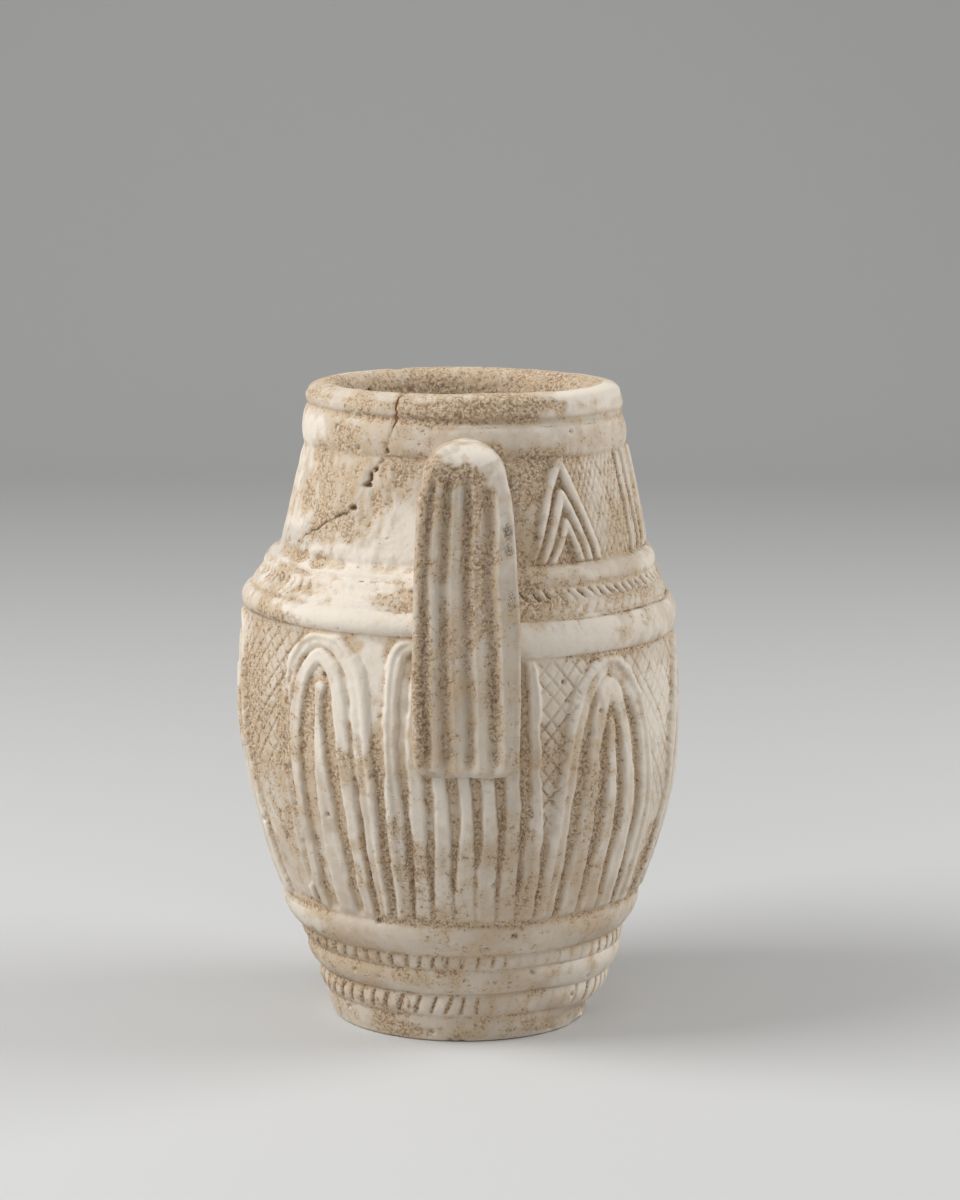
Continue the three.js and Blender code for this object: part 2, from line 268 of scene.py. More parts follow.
LATTICE = 64
lattice = np.random.default_rng(11).random((LATTICE, LATTICE, LATTICE))
NOISE_SHIFT = np.array([7.31, 3.17, 5.53])


def noise_at(points, size, seed):
    """Value noise from -1 to 1: seeded numbers at the corners of cells of the given size, in
    millimetres, blended across each cell by a smooth step."""
    cell = points / size + seed * NOISE_SHIFT
    base = np.floor(cell)
    part = cell - base
    part = part * part * (3 - 2 * part)
    low = base.astype(np.int64) % LATTICE
    high = (low + 1) % LATTICE
    x, y, z = part[..., 0], part[..., 1], part[..., 2]
    planes = []
    for ix in (low[..., 0], high[..., 0]):
        rows = []
        for iy in (low[..., 1], high[..., 1]):
            near = lattice[ix, iy, low[..., 2]]
            rows.append(near + (lattice[ix, iy, high[..., 2]] - near) * z)
        planes.append(rows[0] + (rows[1] - rows[0]) * y)
    return 2 * (planes[0] + (planes[1] - planes[0]) * x) - 1


def layered_noise(points, size, seed, layers=3):
    """A sum of value noises, each of half the size and 0.55 of the strength of the one before."""
    shares = 0.55 ** np.arange(layers)
    noises = [share * noise_at(points, size / 2 ** i, seed + 5 * i) for i, share in enumerate(shares)]
    return sum(noises) / shares.sum()


def round_axis(radius, turn, height):
    """Points at a radius and height, turned about the axis from the front towards the right."""
    return np.stack([radius * np.sin(turn), -radius * np.cos(turn), height], -1)


def directions(points):
    """Unit normals of a surface that closes on itself sideways, from its neighbours' differences."""
    around = np.roll(points, -1, axis=1) - np.roll(points, 1, axis=1)
    normals = np.cross(around, np.gradient(points, axis=0))
    return normals / (np.linalg.norm(normals, axis=-1, keepdims=True) + 1e-12)


ROUND_COLUMNS = 960
ROW_STEP = 0.5
MARGIN_ROWS = 8
round_turns = np.arange(ROUND_COLUMNS) * 2 * math.pi / ROUND_COLUMNS - math.pi
LIFT_HEIGHTS = (100.0, 136.0, 148.5, 157.5, 164.0)
LEFT_LIFTS = (0, 7.2, 2.5, 0.4, 0)
LIP_TILT = 1.5
SHOULDER_TILT = 0.8


def wall_map(low, high):
    """A map of the wall between two reaches: rows follow the outline, columns go right round, and
    the turn is 0 at the front handle and grows to the right. The block was cut by eye: on the left
    the roll of the shoulder is thinner and higher, the halves part behind the handles, and the
    rings of the neck dip to the right."""
    wall = SimpleNamespace(first=max(0, round(low / ROW_STEP) - MARGIN_ROWS))
    rows = np.arange(wall.first, round(high / ROW_STEP) + MARGIN_ROWS + 1)
    wall.turn, wall.reach = np.meshgrid(round_turns, rows * ROW_STEP)
    wall.degrees = np.degrees(wall.turn)
    wall.radius = at_reach(wall.reach, 0)
    wall.level = at_reach(wall.reach, 1)
    wall.outside = wall.reach < rim_reach
    wall.left = step(-np.sin(wall.turn), 0.02, 0.16)
    lift = wall.left * np.interp(wall.level, LIFT_HEIGHTS, LEFT_LIFTS)
    lip_zone = step(wall.level, 196, 208) * step(wall.level, 219, 213)
    ring_zone = step(wall.level, 150, 157) * step(wall.level, 172, 165)
    lift += (SHOULDER_TILT * ring_zone - LIP_TILT * lip_zone) * np.sin(wall.turn)
    wall.height = wall.level + np.where(wall.outside, lift, 0)
    wall.points = round_axis(wall.radius, wall.turn, wall.height)
    for field in ("relief", "crust", "dirt", "rubbed", "filler", "lost"):
        setattr(wall, field, np.zeros_like(wall.turn))
    return wall


def wrapped(angle):
    """An angle in degrees brought to the range from -180 to 180."""
    return (angle + 180) % 360 - 180


def spot(wall, turn, height, half_turn, half_height, ragged=0.9, size=6, seed=3, soft=0.45):
    """A soft-edged oval patch of the outside, 1 in its middle, its edge broken up by noise."""
    off = np.hypot(wrapped(wall.degrees - turn) / half_turn, (wall.height - height) / half_height)
    near = (off < 2.3) & wall.outside
    patch = np.zeros_like(off)
    patch[near] = step(off[near] + ragged * layered_noise(wall.points[near], size, seed),
                       0.95 + soft, 0.95 - soft)
    return patch


def add_spots(wall, field, spots, seed):
    """Adds named patches to one field of a map: turn, height, their half sizes and the amount."""
    for i, (turn, height, half_turn, half_height, amount) in enumerate(spots):
        getattr(wall, field)[...] += amount * spot(wall, turn, height, half_turn, half_height,
                                                   seed=seed + i)


def carve_losses(wall, losses):
    """Lowers patches where the surface was lost: turn, height, their half sizes and the depth."""
    for i, (turn, height, half_turn, half_height, depth) in enumerate(losses):
        patch = spot(wall, turn, height, half_turn, half_height, 0.5, 12, 120 + i)
        wall.relief -= depth * patch
        wall.lost = np.maximum(wall.lost, patch * min(1, depth))


STRAP_FOOT = 98.1
STRAP_EDGE_HEIGHTS = (STRAP_FOOT, 104.0, 121.0, 151.0, 167.0, 190.0, 198.0, 203.5, 206.3)
STRAP_HALF_WIDTHS = (11.4, 17.4, 17.7, 17.3, 16.5, 15.0, 12.9, 8.2, 0.0)
SIDE_SHIFT = 1.4
HOLES_PER_ROW = 0.7
HOLE_REACH = 4


def averaged(field, half):
    """A field of a map averaged over squares of 2 * half + 1 places, right round."""
    size = 2 * half + 1
    around = sum(np.roll(field, shift, axis=1) for shift in range(-half, half + 1)) / size
    padded = np.pad(around, ((half, half), (0, 0)), mode="edge")
    return sum(padded[i:i + len(field)] for i in range(size)) / size


def weather(wall, seed):
    """Wears the carved map down. Broad noise dents it; the crust lies where the surface is lower
    than its surroundings and where it was lost, and is granular; the ridges are rubbed white; dirt
    and painted shade darken the deeper hollows and creases; small holes are scattered; a painted
    shadow, dark and brown, lies along each handle and under its foot, strongest on its right-hand
    side. Then the points move out from the outline by the relief."""
    broad = layered_noise(wall.points, 34, 81, 3)
    patchy = layered_noise(wall.points, 13, 83, 4)
    small = layered_noise(wall.points, 3.4, 85, 2)
    hollow = averaged(wall.relief, 7) - wall.relief
    hollow = np.clip(hollow + 1.3 * np.interp(wall.reach, outline_reach, outline_hollow), -0.8, 0.9)
    wall.crust += 0.24 + 0.5 * np.clip(hollow, -0.4, 0.9) + 0.3 * broad + 0.45 * patchy + 0.3 * small
    wall.crust += 0.2 * wall.lost - 0.5 * wall.rubbed
    wall.rubbed += 0.3 - 0.5 * hollow - 0.35 * broad
    # Dirt and painted crease shade: darker where the surface lies deepest below its surroundings.
    wall.dirt += 0.45 * np.clip(hollow - 0.3, 0, 1) + 0.1 * step(patchy, 0, 0.6)
    bore = ~wall.outside
    wall.crust = np.where(bore, 0.55 + 0.35 * broad + 0.3 * patchy, wall.crust)
    wall.rubbed = np.where(bore, 0.2 + 0.7 * step(wall.height, 214, 219) + 0.3 * patchy, wall.rubbed)

    # Painted shadow of each handle: the dark dirt colour and brown crust along the strap's edges and
    # under its foot, strongest on the right-hand side, where the handle's shade falls.
    to_strap = np.abs(wall.points[..., 0]) - np.interp(wall.height, STRAP_EDGE_HEIGHTS,
                                                       STRAP_HALF_WIDTHS)
    beside = np.hypot(np.clip(to_strap, 0, 9), np.clip(STRAP_FOOT - wall.height, 0, 9))
    beside += 9 * (wall.height > 207) + 9 * bore
    shadow_side = 0.15 + 0.85 * step(wall.points[..., 0] * wall.points[..., 1], 40, -40)
    wall.dirt += 0.45 * np.exp(-(beside / 1.3) ** 2) * shadow_side
    wall.crust += 0.25 * np.exp(-(beside / 3.5) ** 2) * shadow_side

    flaked = step(wall.crust + 0.15 * small, 0.32, 0.68)
    granular = noise_at(wall.points, 1.5, 91) + 0.6 * noise_at(wall.points, 1.05, 93)
    wall.relief += 0.35 * layered_noise(wall.points, 48, 87, 2)
    wall.relief += 0.14 * layered_noise(wall.points, 9, 89, 2)
    wall.relief += (0.05 + 0.15 * flaked + 0.05 * wall.lost) * granular - 0.1 * flaked
    scraping = noise_at(wall.points * [0.25, 0.25, 1.0], 1.6, 97)
    wall.relief += bore * (0.16 * scraping + 0.25 * layered_noise(wall.points, 7, 99, 2))

    holes = np.random.default_rng(seed)
    for _ in range(int(HOLES_PER_ROW * len(wall.turn))):
        row = holes.integers(HOLE_REACH, len(wall.turn) - HOLE_REACH)
        column = holes.integers(0, ROUND_COLUMNS)
        size = 0.5 + 0.9 * holes.random() ** 3
        rows = slice(row - HOLE_REACH, row + HOLE_REACH + 1)
        columns = np.arange(column - HOLE_REACH, column + HOLE_REACH + 1) % ROUND_COLUMNS
        off = np.linalg.norm(wall.points[rows, columns] - wall.points[row, column], axis=-1) / size
        hole = np.clip(1 - off ** 2, 0, 1)
        wall.relief[rows, columns] -= 0.8 * size * hole
        wall.dirt[rows, columns] += 0.6 * step(hole, 0.1, 0.7)

    underside = wall.reach < outline_reach[foot_row] + 0.8
    wall.relief = np.where(underside, np.minimum(wall.relief, 0), wall.relief)
    outward_radius = np.interp(wall.reach, outline_reach, outline_slope[:, 1])
    outward_height = -np.interp(wall.reach, outline_reach, outline_slope[:, 0])
    radius = wall.radius + outward_radius * wall.relief
    height = wall.height + outward_height * wall.relief
    shift = SIDE_SHIFT * step(wall.level, 76, 114) * step(wall.level, 172, 158) * wall.outside
    wall.points = round_axis(radius, wall.turn, np.maximum(height, 0))
    wall.points[..., 0] -= shift
    wall.normals = directions(wall.points)
    wall.finish = np.clip(np.stack([wall.crust, wall.dirt, wall.rubbed, wall.filler], -1), 0, 1)


def on_wall(wall, turns, reaches):
    """Points, normals and finish of a weathered map at any turns, in radians, and reaches, blended
    between the four nearest places of the map."""
    column = (turns + math.pi) / (2 * math.pi) * ROUND_COLUMNS
    row = np.clip(reaches / ROW_STEP - wall.first, 0, len(wall.turn) - 1.001)
    left = np.floor(column).astype(int)
    low = np.floor(row).astype(int)
    sideways = (column - left)[..., None]
    upwards = (row - low)[..., None]
    left, right = left % ROUND_COLUMNS, (left + 1) % ROUND_COLUMNS
    found = []
    for field in (wall.points, wall.normals, wall.finish):
        lower = field[low, left] * (1 - sideways) + field[low, right] * sideways
        upper = field[low + 1, left] * (1 - sideways) + field[low + 1, right] * sideways
        found.append(lower * (1 - upwards) + upper * upwards)
    return found


def ring_rows(wall, low, high):
    """The rows of a weathered map between two reaches, right round."""
    return on_wall(wall, *np.meshgrid(round_turns, np.arange(low, high + ROW_STEP / 2, ROW_STEP)))


def hollow_rows(start, end, count):
    """Plain rows of the bore's or hollow's wall between two reaches, right round."""
    reach = np.linspace(start, end, count)[:, None]
    radius, height, slope_radius, slope_height = (
        np.interp(reach, outline_reach, side) for side in (*outline.T, *outline_slope.T))
    level = 0 * round_turns
    points = round_axis(radius, round_turns, height + level)
    normals = round_axis(slope_height, round_turns, level - slope_radius)
    finish = np.zeros(points.shape[:2] + (4,)) + (0.45, 0.15, 0.1, 0)
    return points, normals, finish


def seam(height):
    """The reach of a seam between two rings of the wall, on a row of the maps."""
    return round(outside_reach(height) / ROW_STEP) * ROW_STEP


def weathered_stone_group():
    """The shader group shared by every stone piece. The mesh's colour attribute holds four masks:
    red for crust and some painted shade, green for dirt and painted shade, blue for rubbed stone and
    a painted highlight, alpha for the filler of the break. Noise breaks up their edges."""
    tree = bpy.data.node_groups.new("weathered_stone", "ShaderNodeTree")
    for name in ("Clean", "Grey", "White", "Crust and Shade Light", "Crust and Shade Dark", "Dirt and Shade", "Filler"):
        tree.interface.new_socket(name, in_out="INPUT", socket_type="NodeSocketColor")
    for name in ("Grain Scale", "Speckle Scale", "Crust and Shade Amount"):
        tree.interface.new_socket(name, in_out="INPUT", socket_type="NodeSocketFloat")
    for name, kind in (("Color", "Color"), ("Roughness", "Float"), ("Height", "Float")):
        tree.interface.new_socket(name, in_out="OUTPUT", socket_type="NodeSocket" + kind)
    given = tree.nodes.new("NodeGroupInput").outputs
    place = add_node(tree, "TexCoord").outputs["Object"]
    masks = add_node(tree, "Attribute", attribute_name="finish")
    split = add_node(tree, "SeparateColor", {"Color": masks.outputs["Color"]}).outputs

    def noise(scale, detail, roughness):
        return add_node(tree, "TexNoise", {"Vector": place, "Scale": scale, "Detail": detail,
                                           "Roughness": roughness}).outputs["Fac"]

    def ramp(value, low, high, start=0.0, end=1.0):
        return add_node(tree, "MapRange", {"Value": value, "From Min": low, "From Max": high,
                                           "To Min": start, "To Max": end},
                        interpolation_type="SMOOTHSTEP").outputs["Result"]

    def maths(operation, first, second):
        made = add_node(tree, "Math", {0: first, 1: second}, operation=operation)
        return made.outputs[0]

    def broken_up(mask, pattern, strength):
        return maths("ADD", mask, maths("MULTIPLY", maths("SUBTRACT", pattern, 0.5), strength))

    def mix(share, first, second):
        made = add_node(tree, "Mix", {0: share, 6: first, 7: second}, data_type="RGBA")
        return made.outputs[2]

    speckle = noise(given["Speckle Scale"], 5.0, 0.72)
    grain = noise(given["Grain Scale"], 3.0, 0.6)
    cloud = noise(38.0, 4.0, 0.6)
    blotch = noise(170.0, 3.0, 0.65)
    fleck = noise(900.0, 2.0, 0.6)
    granule = noise(1050.0, 2.0, 0.5)

    stain_and_shade = broken_up(broken_up(split["Red"], blotch, 1.4), cloud, 1.6)
    wash = maths("MULTIPLY", ramp(stain_and_shade, 0.0, 0.72), 0.9)
    granules = broken_up(broken_up(split["Red"], speckle, 2.6), grain, 1.5)
    crust = maths("MULTIPLY", ramp(granules, 0.42, 0.72), given["Crust and Shade Amount"])
    dirt = ramp(broken_up(split["Green"], grain, 1.8), 0.42, 0.95)
    rubbed = ramp(broken_up(split["Blue"], blotch, 1.2), 0.25, 0.75)
    filler = ramp(broken_up(masks.outputs["Alpha"], blotch, 1.4), 0.35, 0.75)

    stone = mix(ramp(cloud, 0.35, 0.68), given["Clean"], given["Grey"])
    stone = mix(rubbed, stone, given["White"])
    stone = mix(maths("MULTIPLY", filler, 0.6), stone, given["Filler"])
    stone = mix(wash, stone, given["Crust and Shade Light"])
    tan = mix(ramp(fleck, 0.40, 0.60), given["Crust and Shade Dark"], given["Crust and Shade Light"])
    tan = mix(ramp(granule, 0.51, 0.62, 0.0, 0.6), tan, given["White"])
    stone = mix(crust, stone, tan)
    stone = mix(dirt, stone, given["Dirt and Shade"])
    freckle = ramp(noise(1500.0, 2.0, 0.5), 0.63, 0.72, 0.0, 0.6)
    stone = mix(maths("MULTIPLY", freckle, maths("ADD", crust, 0.2)), stone, given["Dirt and Shade"])

    rough = maths("ADD", 0.72, maths("MULTIPLY", crust, 0.2))
    lumps = maths("SUBTRACT", maths("ADD", granule, fleck), 1.0)
    pebbles = maths("MULTIPLY", maths("ADD", crust, 0.16), lumps)
    height = maths("ADD", maths("MULTIPLY", pebbles, 0.48), maths("MULTIPLY", grain, 0.25))
    height = maths("SUBTRACT", height, maths("MULTIPLY", dirt, 0.15))
    gives = tree.nodes.new("NodeGroupOutput").inputs
    for name, result in (("Color", stone), ("Roughness", rough), ("Height", height)):
        tree.links.new(result, gives[name])
    return tree


weathered_stone = weathered_stone_group()


def stone_material(name, colours, grain_scale, speckle_scale, crust_amount, bump_depth):
    """Limestone: the shared weathering with this piece's own colours, and a shallow bump."""
    material, shader = new_material(name)
    tree = material.node_tree
    group = add_node(tree, "Group", {**colours, "Grain Scale": grain_scale,
                                     "Speckle Scale": speckle_scale,
                                     "Crust and Shade Amount": crust_amount}, node_tree=weathered_stone)
    bump = add_node(tree, "Bump", {"Strength": 0.85, "Distance": bump_depth,
                                   "Height": group.outputs["Height"]})
    tree.links.new(group.outputs["Color"], shader.inputs["Base Color"])
    tree.links.new(group.outputs["Roughness"], shader.inputs["Roughness"])
    tree.links.new(bump.outputs["Normal"], shader.inputs["Normal"])
    shader.inputs["Specular IOR Level"].default_value = 0.25
    return material


# The dirt colour also paints shade beside the handles and in creases, and the crust colours also
# paint shade beside and under the handles.
limestone_colours = {
    "Clean": (0.64, 0.555, 0.455, 1), "Grey": (0.55, 0.475, 0.39, 1), "White": (0.74, 0.67, 0.575, 1),
    "Crust and Shade Light": (0.545, 0.41, 0.27, 1), "Crust and Shade Dark": (0.285, 0.185, 0.105, 1),
    "Dirt and Shade": (0.15, 0.10, 0.06, 1), "Filler": (0.52, 0.48, 0.42, 1),
}
carved_limestone = stone_material("carved_limestone", limestone_colours, 2300.0, 620.0, 0.95, 0.0006)


def grid_faces(grid):
    """Four-sided faces between the neighbours of a grid of corner numbers."""
    quads = np.stack([grid[:-1, :-1], grid[:-1, 1:], grid[1:, 1:], grid[1:, :-1]], -1)
    return quads.reshape(-1, 4)


def round_faces(points, capped=True):
    """Faces of rows of points that go right round, and caps for the first and last row. Without
    caps the last row meets the first."""
    grid = np.arange(points[..., 0].size).reshape(points.shape[:2])
    closed = np.hstack([grid, grid[:, :1]])
    if capped:
        return grid_faces(closed), [grid[0, ::-1], grid[-1]]
    return grid_faces(np.vstack([closed, closed[:1]])), []


def add_piece(name, fields, faces, material, replaced):
    """A mesh with its own normals and finish masks, riding on the vessel. Its faces are four-sided,
    and each cap is one many-sided face, given by its corner numbers."""
    quads, caps = faces
    points, normals, finish = (np.asarray(field).reshape(-1, np.shape(field)[-1]) for field in fields)
    corners = np.concatenate([quads.ravel()] + [np.asarray(cap) for cap in caps])
    sizes = np.concatenate([np.full(len(quads), 4)] + [[len(cap)] for cap in caps]).astype(int)
    starts = np.concatenate([[0], np.cumsum(sizes)[:-1]])
    mesh = bpy.data.meshes.new(name)
    mesh.vertices.add(len(points))
    mesh.vertices.foreach_set("co", (points * METRES).astype(np.float32).ravel())
    mesh.loops.add(len(corners))
    mesh.loops.foreach_set("vertex_index", corners.astype(np.int32))
    mesh.polygons.add(len(sizes))
    mesh.polygons.foreach_set("loop_start", starts.astype(np.int32))
    mesh.update(calc_edges=True)
    mesh.shade_smooth()
    masks = mesh.attributes.new("finish", "FLOAT_COLOR", "POINT")
    masks.data.foreach_set("color", finish.astype(np.float32).ravel())
    mesh.normals_split_custom_set_from_vertices(normals)
    mesh.materials.append(material)
    made = bpy.data.objects.new(name, mesh)
    bpy.context.scene.collection.objects.link(made)
    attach(made, "root")
    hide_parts(*replaced)


def stacked(*parts):
    """Rows of points, normals and finish from several sources, one above the other."""
    return [np.concatenate(fields) for fields in zip(*parts)]


def ring_piece(name, fields, capped=False):
    """A full ring of the vessel. Its rows go up the outside and down the inside, and either meet
    again or end in two flat caps on the axis."""
    add_piece(name, fields, round_faces(fields[0], capped), carved_limestone,
              ["vessel_body"])


# The foot: a plain band that was knocked along its edge, a row of slanting beads, a roll, a row of
# small upright beads and a broad ring. The beads were cut one by one with a point; on the front
# right they are worn flat, and dirt has stayed between the sharp ones.

LOWER_BEAD_COUNT = 58
UPPER_BEAD_COUNT = 70
LOWER_BEAD_DEPTH = 1.15
UPPER_BEAD_DEPTH = 1.25
LOWER_BEAD_LEAN = -0.36
UPPER_BEAD_LEAN = -0.1
RIGHT_SWELLING = 2.2
FOOT_SEAM = LOWER_BEADS_TOP
BELLY_SEAM = LOWER_RING_TOP - 1.6
UNDERSIDE_START = 20.0
UNDERSIDE_STEP = 2.5
FLOOR_CAP = 12.0


def carve_beads(wall, low, high, count, lean, depth, wear, seed):
    """Beads round the vessel between two heights: (1 - a^4)^0.7 across each bead, where a is 0 in
    its middle and 1 in the gap, faded at the row's edges; lean shifts the top by a share of a
    bead."""
    up = (wall.height - low) / (high - low)
    around = wall.turn * count / (2 * math.pi) + lean * (up - 0.5)
    around += 0.22 * noise_at(wall.points, 9, seed)
    across = np.abs(2 * (around % 1) - 1)
    bead = np.clip(1 - across ** 4, 0, 1) ** 0.7
    inside = step(up, 0.0, 0.14) * step(up, 1.0, 0.86)
    depth = depth * wear * (1 + 0.3 * noise_at(wall.points, 11, seed + 1))
    wall.relief -= depth * (1 - bead) * inside
    wall.dirt += 0.4 * step(across, 0.7, 1.0) * inside * wear
    wall.crust += 0.45 * step(across, 0.45, 1.0) * inside * wear


foot = wall_map(UNDERSIDE_START, outside_reach(BELLY_SEAM))
lower_wear = 1 - 0.85 * step(foot.degrees, 2, 14) * step(foot.degrees, 60, 42)
upper_wear = 1 - 0.75 * step(foot.degrees, 8, 20) * step(foot.degrees, 62, 48)
carve_beads(foot, FOOT_TOP + 0.4, LOWER_BEADS_TOP - 0.4, LOWER_BEAD_COUNT, LOWER_BEAD_LEAN,
            LOWER_BEAD_DEPTH, lower_wear, 21)
carve_beads(foot, FOOT_ROLL_TOP + 0.3, UPPER_BEADS_TOP - 0.3, UPPER_BEAD_COUNT, UPPER_BEAD_LEAN,
            UPPER_BEAD_DEPTH, upper_wear, 23)
knocks = step(layered_noise(foot.points, 11, 31), 0.25, 0.6) * foot.outside
foot.relief -= 1.6 * knocks * step(foot.height, 7, 0.5)
right_side = step(np.sin(foot.turn), 0.5, 0.95) * foot.outside
foot.relief += RIGHT_SWELLING * right_side * step(foot.level, 6, 11) * step(foot.level, 36, 24)
carve_losses(foot, ((80, 6, 14, 6, 1.6), (64, 1, 7, 4, 0.8), (16, 40.6, 1.1, 1.1, 0.8)))
add_spots(foot, "dirt", ((16, 40.6, 1.3, 1.2, 0.5),), 8)
add_spots(foot, "crust", (
    (-40, 14, 32, 5, 0.25), (-38, 29, 26, 3, 0.12), (-45, 4, 24, 5, 0.35), (-14, 24, 20, 3, 0.28),
    (-110, 26, 40, 10, 0.3), (130, 14, 40, 8, 0.3), (30, 17, 5, 3, 0.35), (33, 4, 9, 3, 0.35),
    (40, 24, 9, 2, 0.25)), 200)
add_spots(foot, "rubbed", ((-62, 40, 16, 5, 0.5), (60, 22, 22, 8, 0.35)), 230)
weather(foot, 301)
foot_edge = round(outline_reach[foot_row] / ROW_STEP - 4) * ROW_STEP
underside = on_wall(foot, *np.meshgrid(round_turns, np.arange(UNDERSIDE_START, foot_edge,
                                                              UNDERSIDE_STEP)))
ring_piece("vessel_foot", stacked(underside, ring_rows(foot, foot_edge, seam(FOOT_SEAM))), True)
ring_piece("vessel_foot_rings", stacked(
    ring_rows(foot, seam(FOOT_SEAM), seam(BELLY_SEAM)),
    hollow_rows(inside_reach(BELLY_SEAM), outline_reach[-1] - FLOOR_CAP, 24)), True)

# The belly: nested arches in rounded ridges whose legs run down to the lower ring and become its
# ribs, with hatched corners between the arches, all cut into the stone with a chisel and a point.

# Each arch is the turn of its middle, the height of its top, half its width in degrees, how many
# millimetres its shoulders take to spread, how round they are, and its inner ridges, which are a
# drop, a share of the width and a shift in degrees.
ARCHES = (
    (-38.0, 140.6, 13.4, 6.6, 0.66, ((6.0, 0.66, -0.9), (16.0, 0.0, -0.4))),
    (0.3, 142.0, 18.2, 0.4, 0.40, ((7.0, 0.68, 0), (15.0, 0.34, 0), (24.0, 0.0, 0))),
    (41.2, 132.3, 17.4, 18.5, 0.64, ((7.6, 0.53, 0), (20.5, 0.0, 0))),
    (87.0, 132.8, 16.0, 11.0, 0.55, ((7.0, 0.55, 0), (18.0, 0.0, 0))),
    (131.0, 131.6, 19.0, 11.0, 0.50, ((6.5, 0.60, 0), (17.0, 0.0, 0))),
    (177.0, 132.6, 20.0, 7.0, 0.50, ((7.0, 0.66, 0), (15.0, 0.33, 0), (24.0, 0.0, 0))),
    (-136.0, 139.0, 19.0, 11.0, 0.50, ((6.5, 0.60, 0), (16.0, 0.0, 0))),
    (-88.0, 139.6, 16.4, 9.0, 0.55, ((7.0, 0.56, 0), (18.5, 0.0, 0))),
)
ARCH_RADIUS = 70.0
RIDGE_HEIGHT = 1.75
VALLEY_LEVEL = -0.95
CORNER_LEVEL = -0.3
RIDGE_HALF_AT_TOP = (3.4, 3.0, 2.2, 2.1)
RIDGE_HALF_AT_FOOT = 4.1
RIDGE_SHARE_OF_GAP = 0.44
RIDGE_FILL = 1.2
LEGS_START_DROP = 22
LEGS_FULL_DROP = 80
RIB_FOOT = 45.4
HATCH_PITCH = 4.3
HATCH_SLOPES = (38.0, -42.0)
HATCH_HALF_WIDTH = 0.62
HATCH_DEPTH = 0.62
HATCH_LOW_EDGE = 72
HATCH_RADIUS = 73
LEFT_HATCH_RAISED = 16
LEFT_ROLL_LIFT = LEFT_LIFTS[1]
SHOULDER_SEAM = BELLY_TOP + 0.3
BELLY_RINGS = (("vessel_belly_low", BELLY_SEAM, 76.0), ("vessel_belly_middle", 76.0, 107.0),
               ("vessel_belly_high", 107.0, SHOULDER_SEAM))


def distance_to_line(across, up, line):
    """Distance on the wall laid out flat to the nearest of the straight runs between corners."""
    nearest = np.full(across.shape, 1e9)
    for start, end in zip(line[:-1], line[1:]):
        run = end - start
        share = ((across - start[0]) * run[0] + (up - start[1]) * run[1]) / (run ** 2).sum()
        share = np.clip(share, 0, 1)
        nearest = np.minimum(nearest, np.hypot(across - start[0] - share * run[0],
                                               up - start[1] - share * run[1]))
    return nearest


def distance_to_arch(across, drop, half_width, spread, roundness):
    """Distance from points, measured sideways and down from an arch's top, to its ridge line, whose
    half width grows as half_width * (1 - exp(-(drop / spread) ^ roundness)), and whether they lie
    outside it."""
    line_drop = 100 * np.linspace(0, 1, 30) ** 2
    line_across = half_width * (1 - np.exp(-(line_drop / spread) ** roundness))
    sideways = np.abs(across)
    nearest = distance_to_line(sideways, drop, np.stack([line_across, line_drop], 1))
    return nearest, (drop < 0) | (sideways > np.interp(drop, line_drop, line_across))


def ridge(distance, half_breadth, sharpness=0.8):
    """A rounded ridge, 1 on its line and 0 beyond its half breadth."""
    return np.clip(1 - (distance / half_breadth) ** 2, 0, 1) ** sharpness


def hatching(across, up, pitch, slopes, half_width, seed):
    """Crossing families of incised lines: for each slope, the distance to the nearest line, whose
    spacing and strength are a little uneven, turned into a groove that is up to 1 deep."""
    cut = np.zeros_like(across)
    for family, slope in enumerate(slopes):
        lean = math.radians(slope)
        measure = (across * math.cos(lean) + up * math.sin(lean)) / pitch
        line = np.round(measure).astype(int)
        uneven = lattice[line % LATTICE, seed % LATTICE, family]
        off_line = np.abs(measure - line - 0.3 * (uneven - 0.5)) * pitch
        strength = 0.55 + 0.45 * lattice[seed % LATTICE, line % LATTICE, family]
        cut = np.maximum(cut, strength * np.clip(1 - off_line / half_width, 0, 1))
    return cut


belly = wall_map(seam(BELLY_SEAM), outside_reach(SHOULDER_SEAM))
arch_radius = outside_radius(belly.level)
sway = 0.9 * layered_noise(belly.points, 26, 41, 2)
ragged_edge = 0.6 * layered_noise(belly.points, 5, 49, 3)
belly.breadth = 1 + 0.3 * layered_noise(belly.points * [1, 1, 0.4], 9, 43, 2)
add_spots(belly, "breadth", (
    (18.5, 118, 4.5, 34, -0.45), (-27, 116, 6, 26, 0.3), (29, 112, 7, 28, 0.3),
    (41, 126, 12, 9, 0.25), (-17.8, 116, 4.5, 30, -0.25)), 250)
belly.firm = 0.95 + 0.3 * layered_noise(belly.points * [1, 1, 0.5], 11, 47, 2)
add_spots(belly, "firm", ((41, 124, 10, 9, -0.4), (-36, 132, 8, 6, -0.15)), 255)
belly.outer_wear = np.zeros_like(belly.turn)
add_spots(belly, "outer_wear", ((-52.5, 86, 4.5, 50, 0.85),), 258)
ridges = np.zeros_like(belly.turn)
corner = np.ones_like(belly.turn)
past_arches = np.full(belly.turn.shape, 99.0)
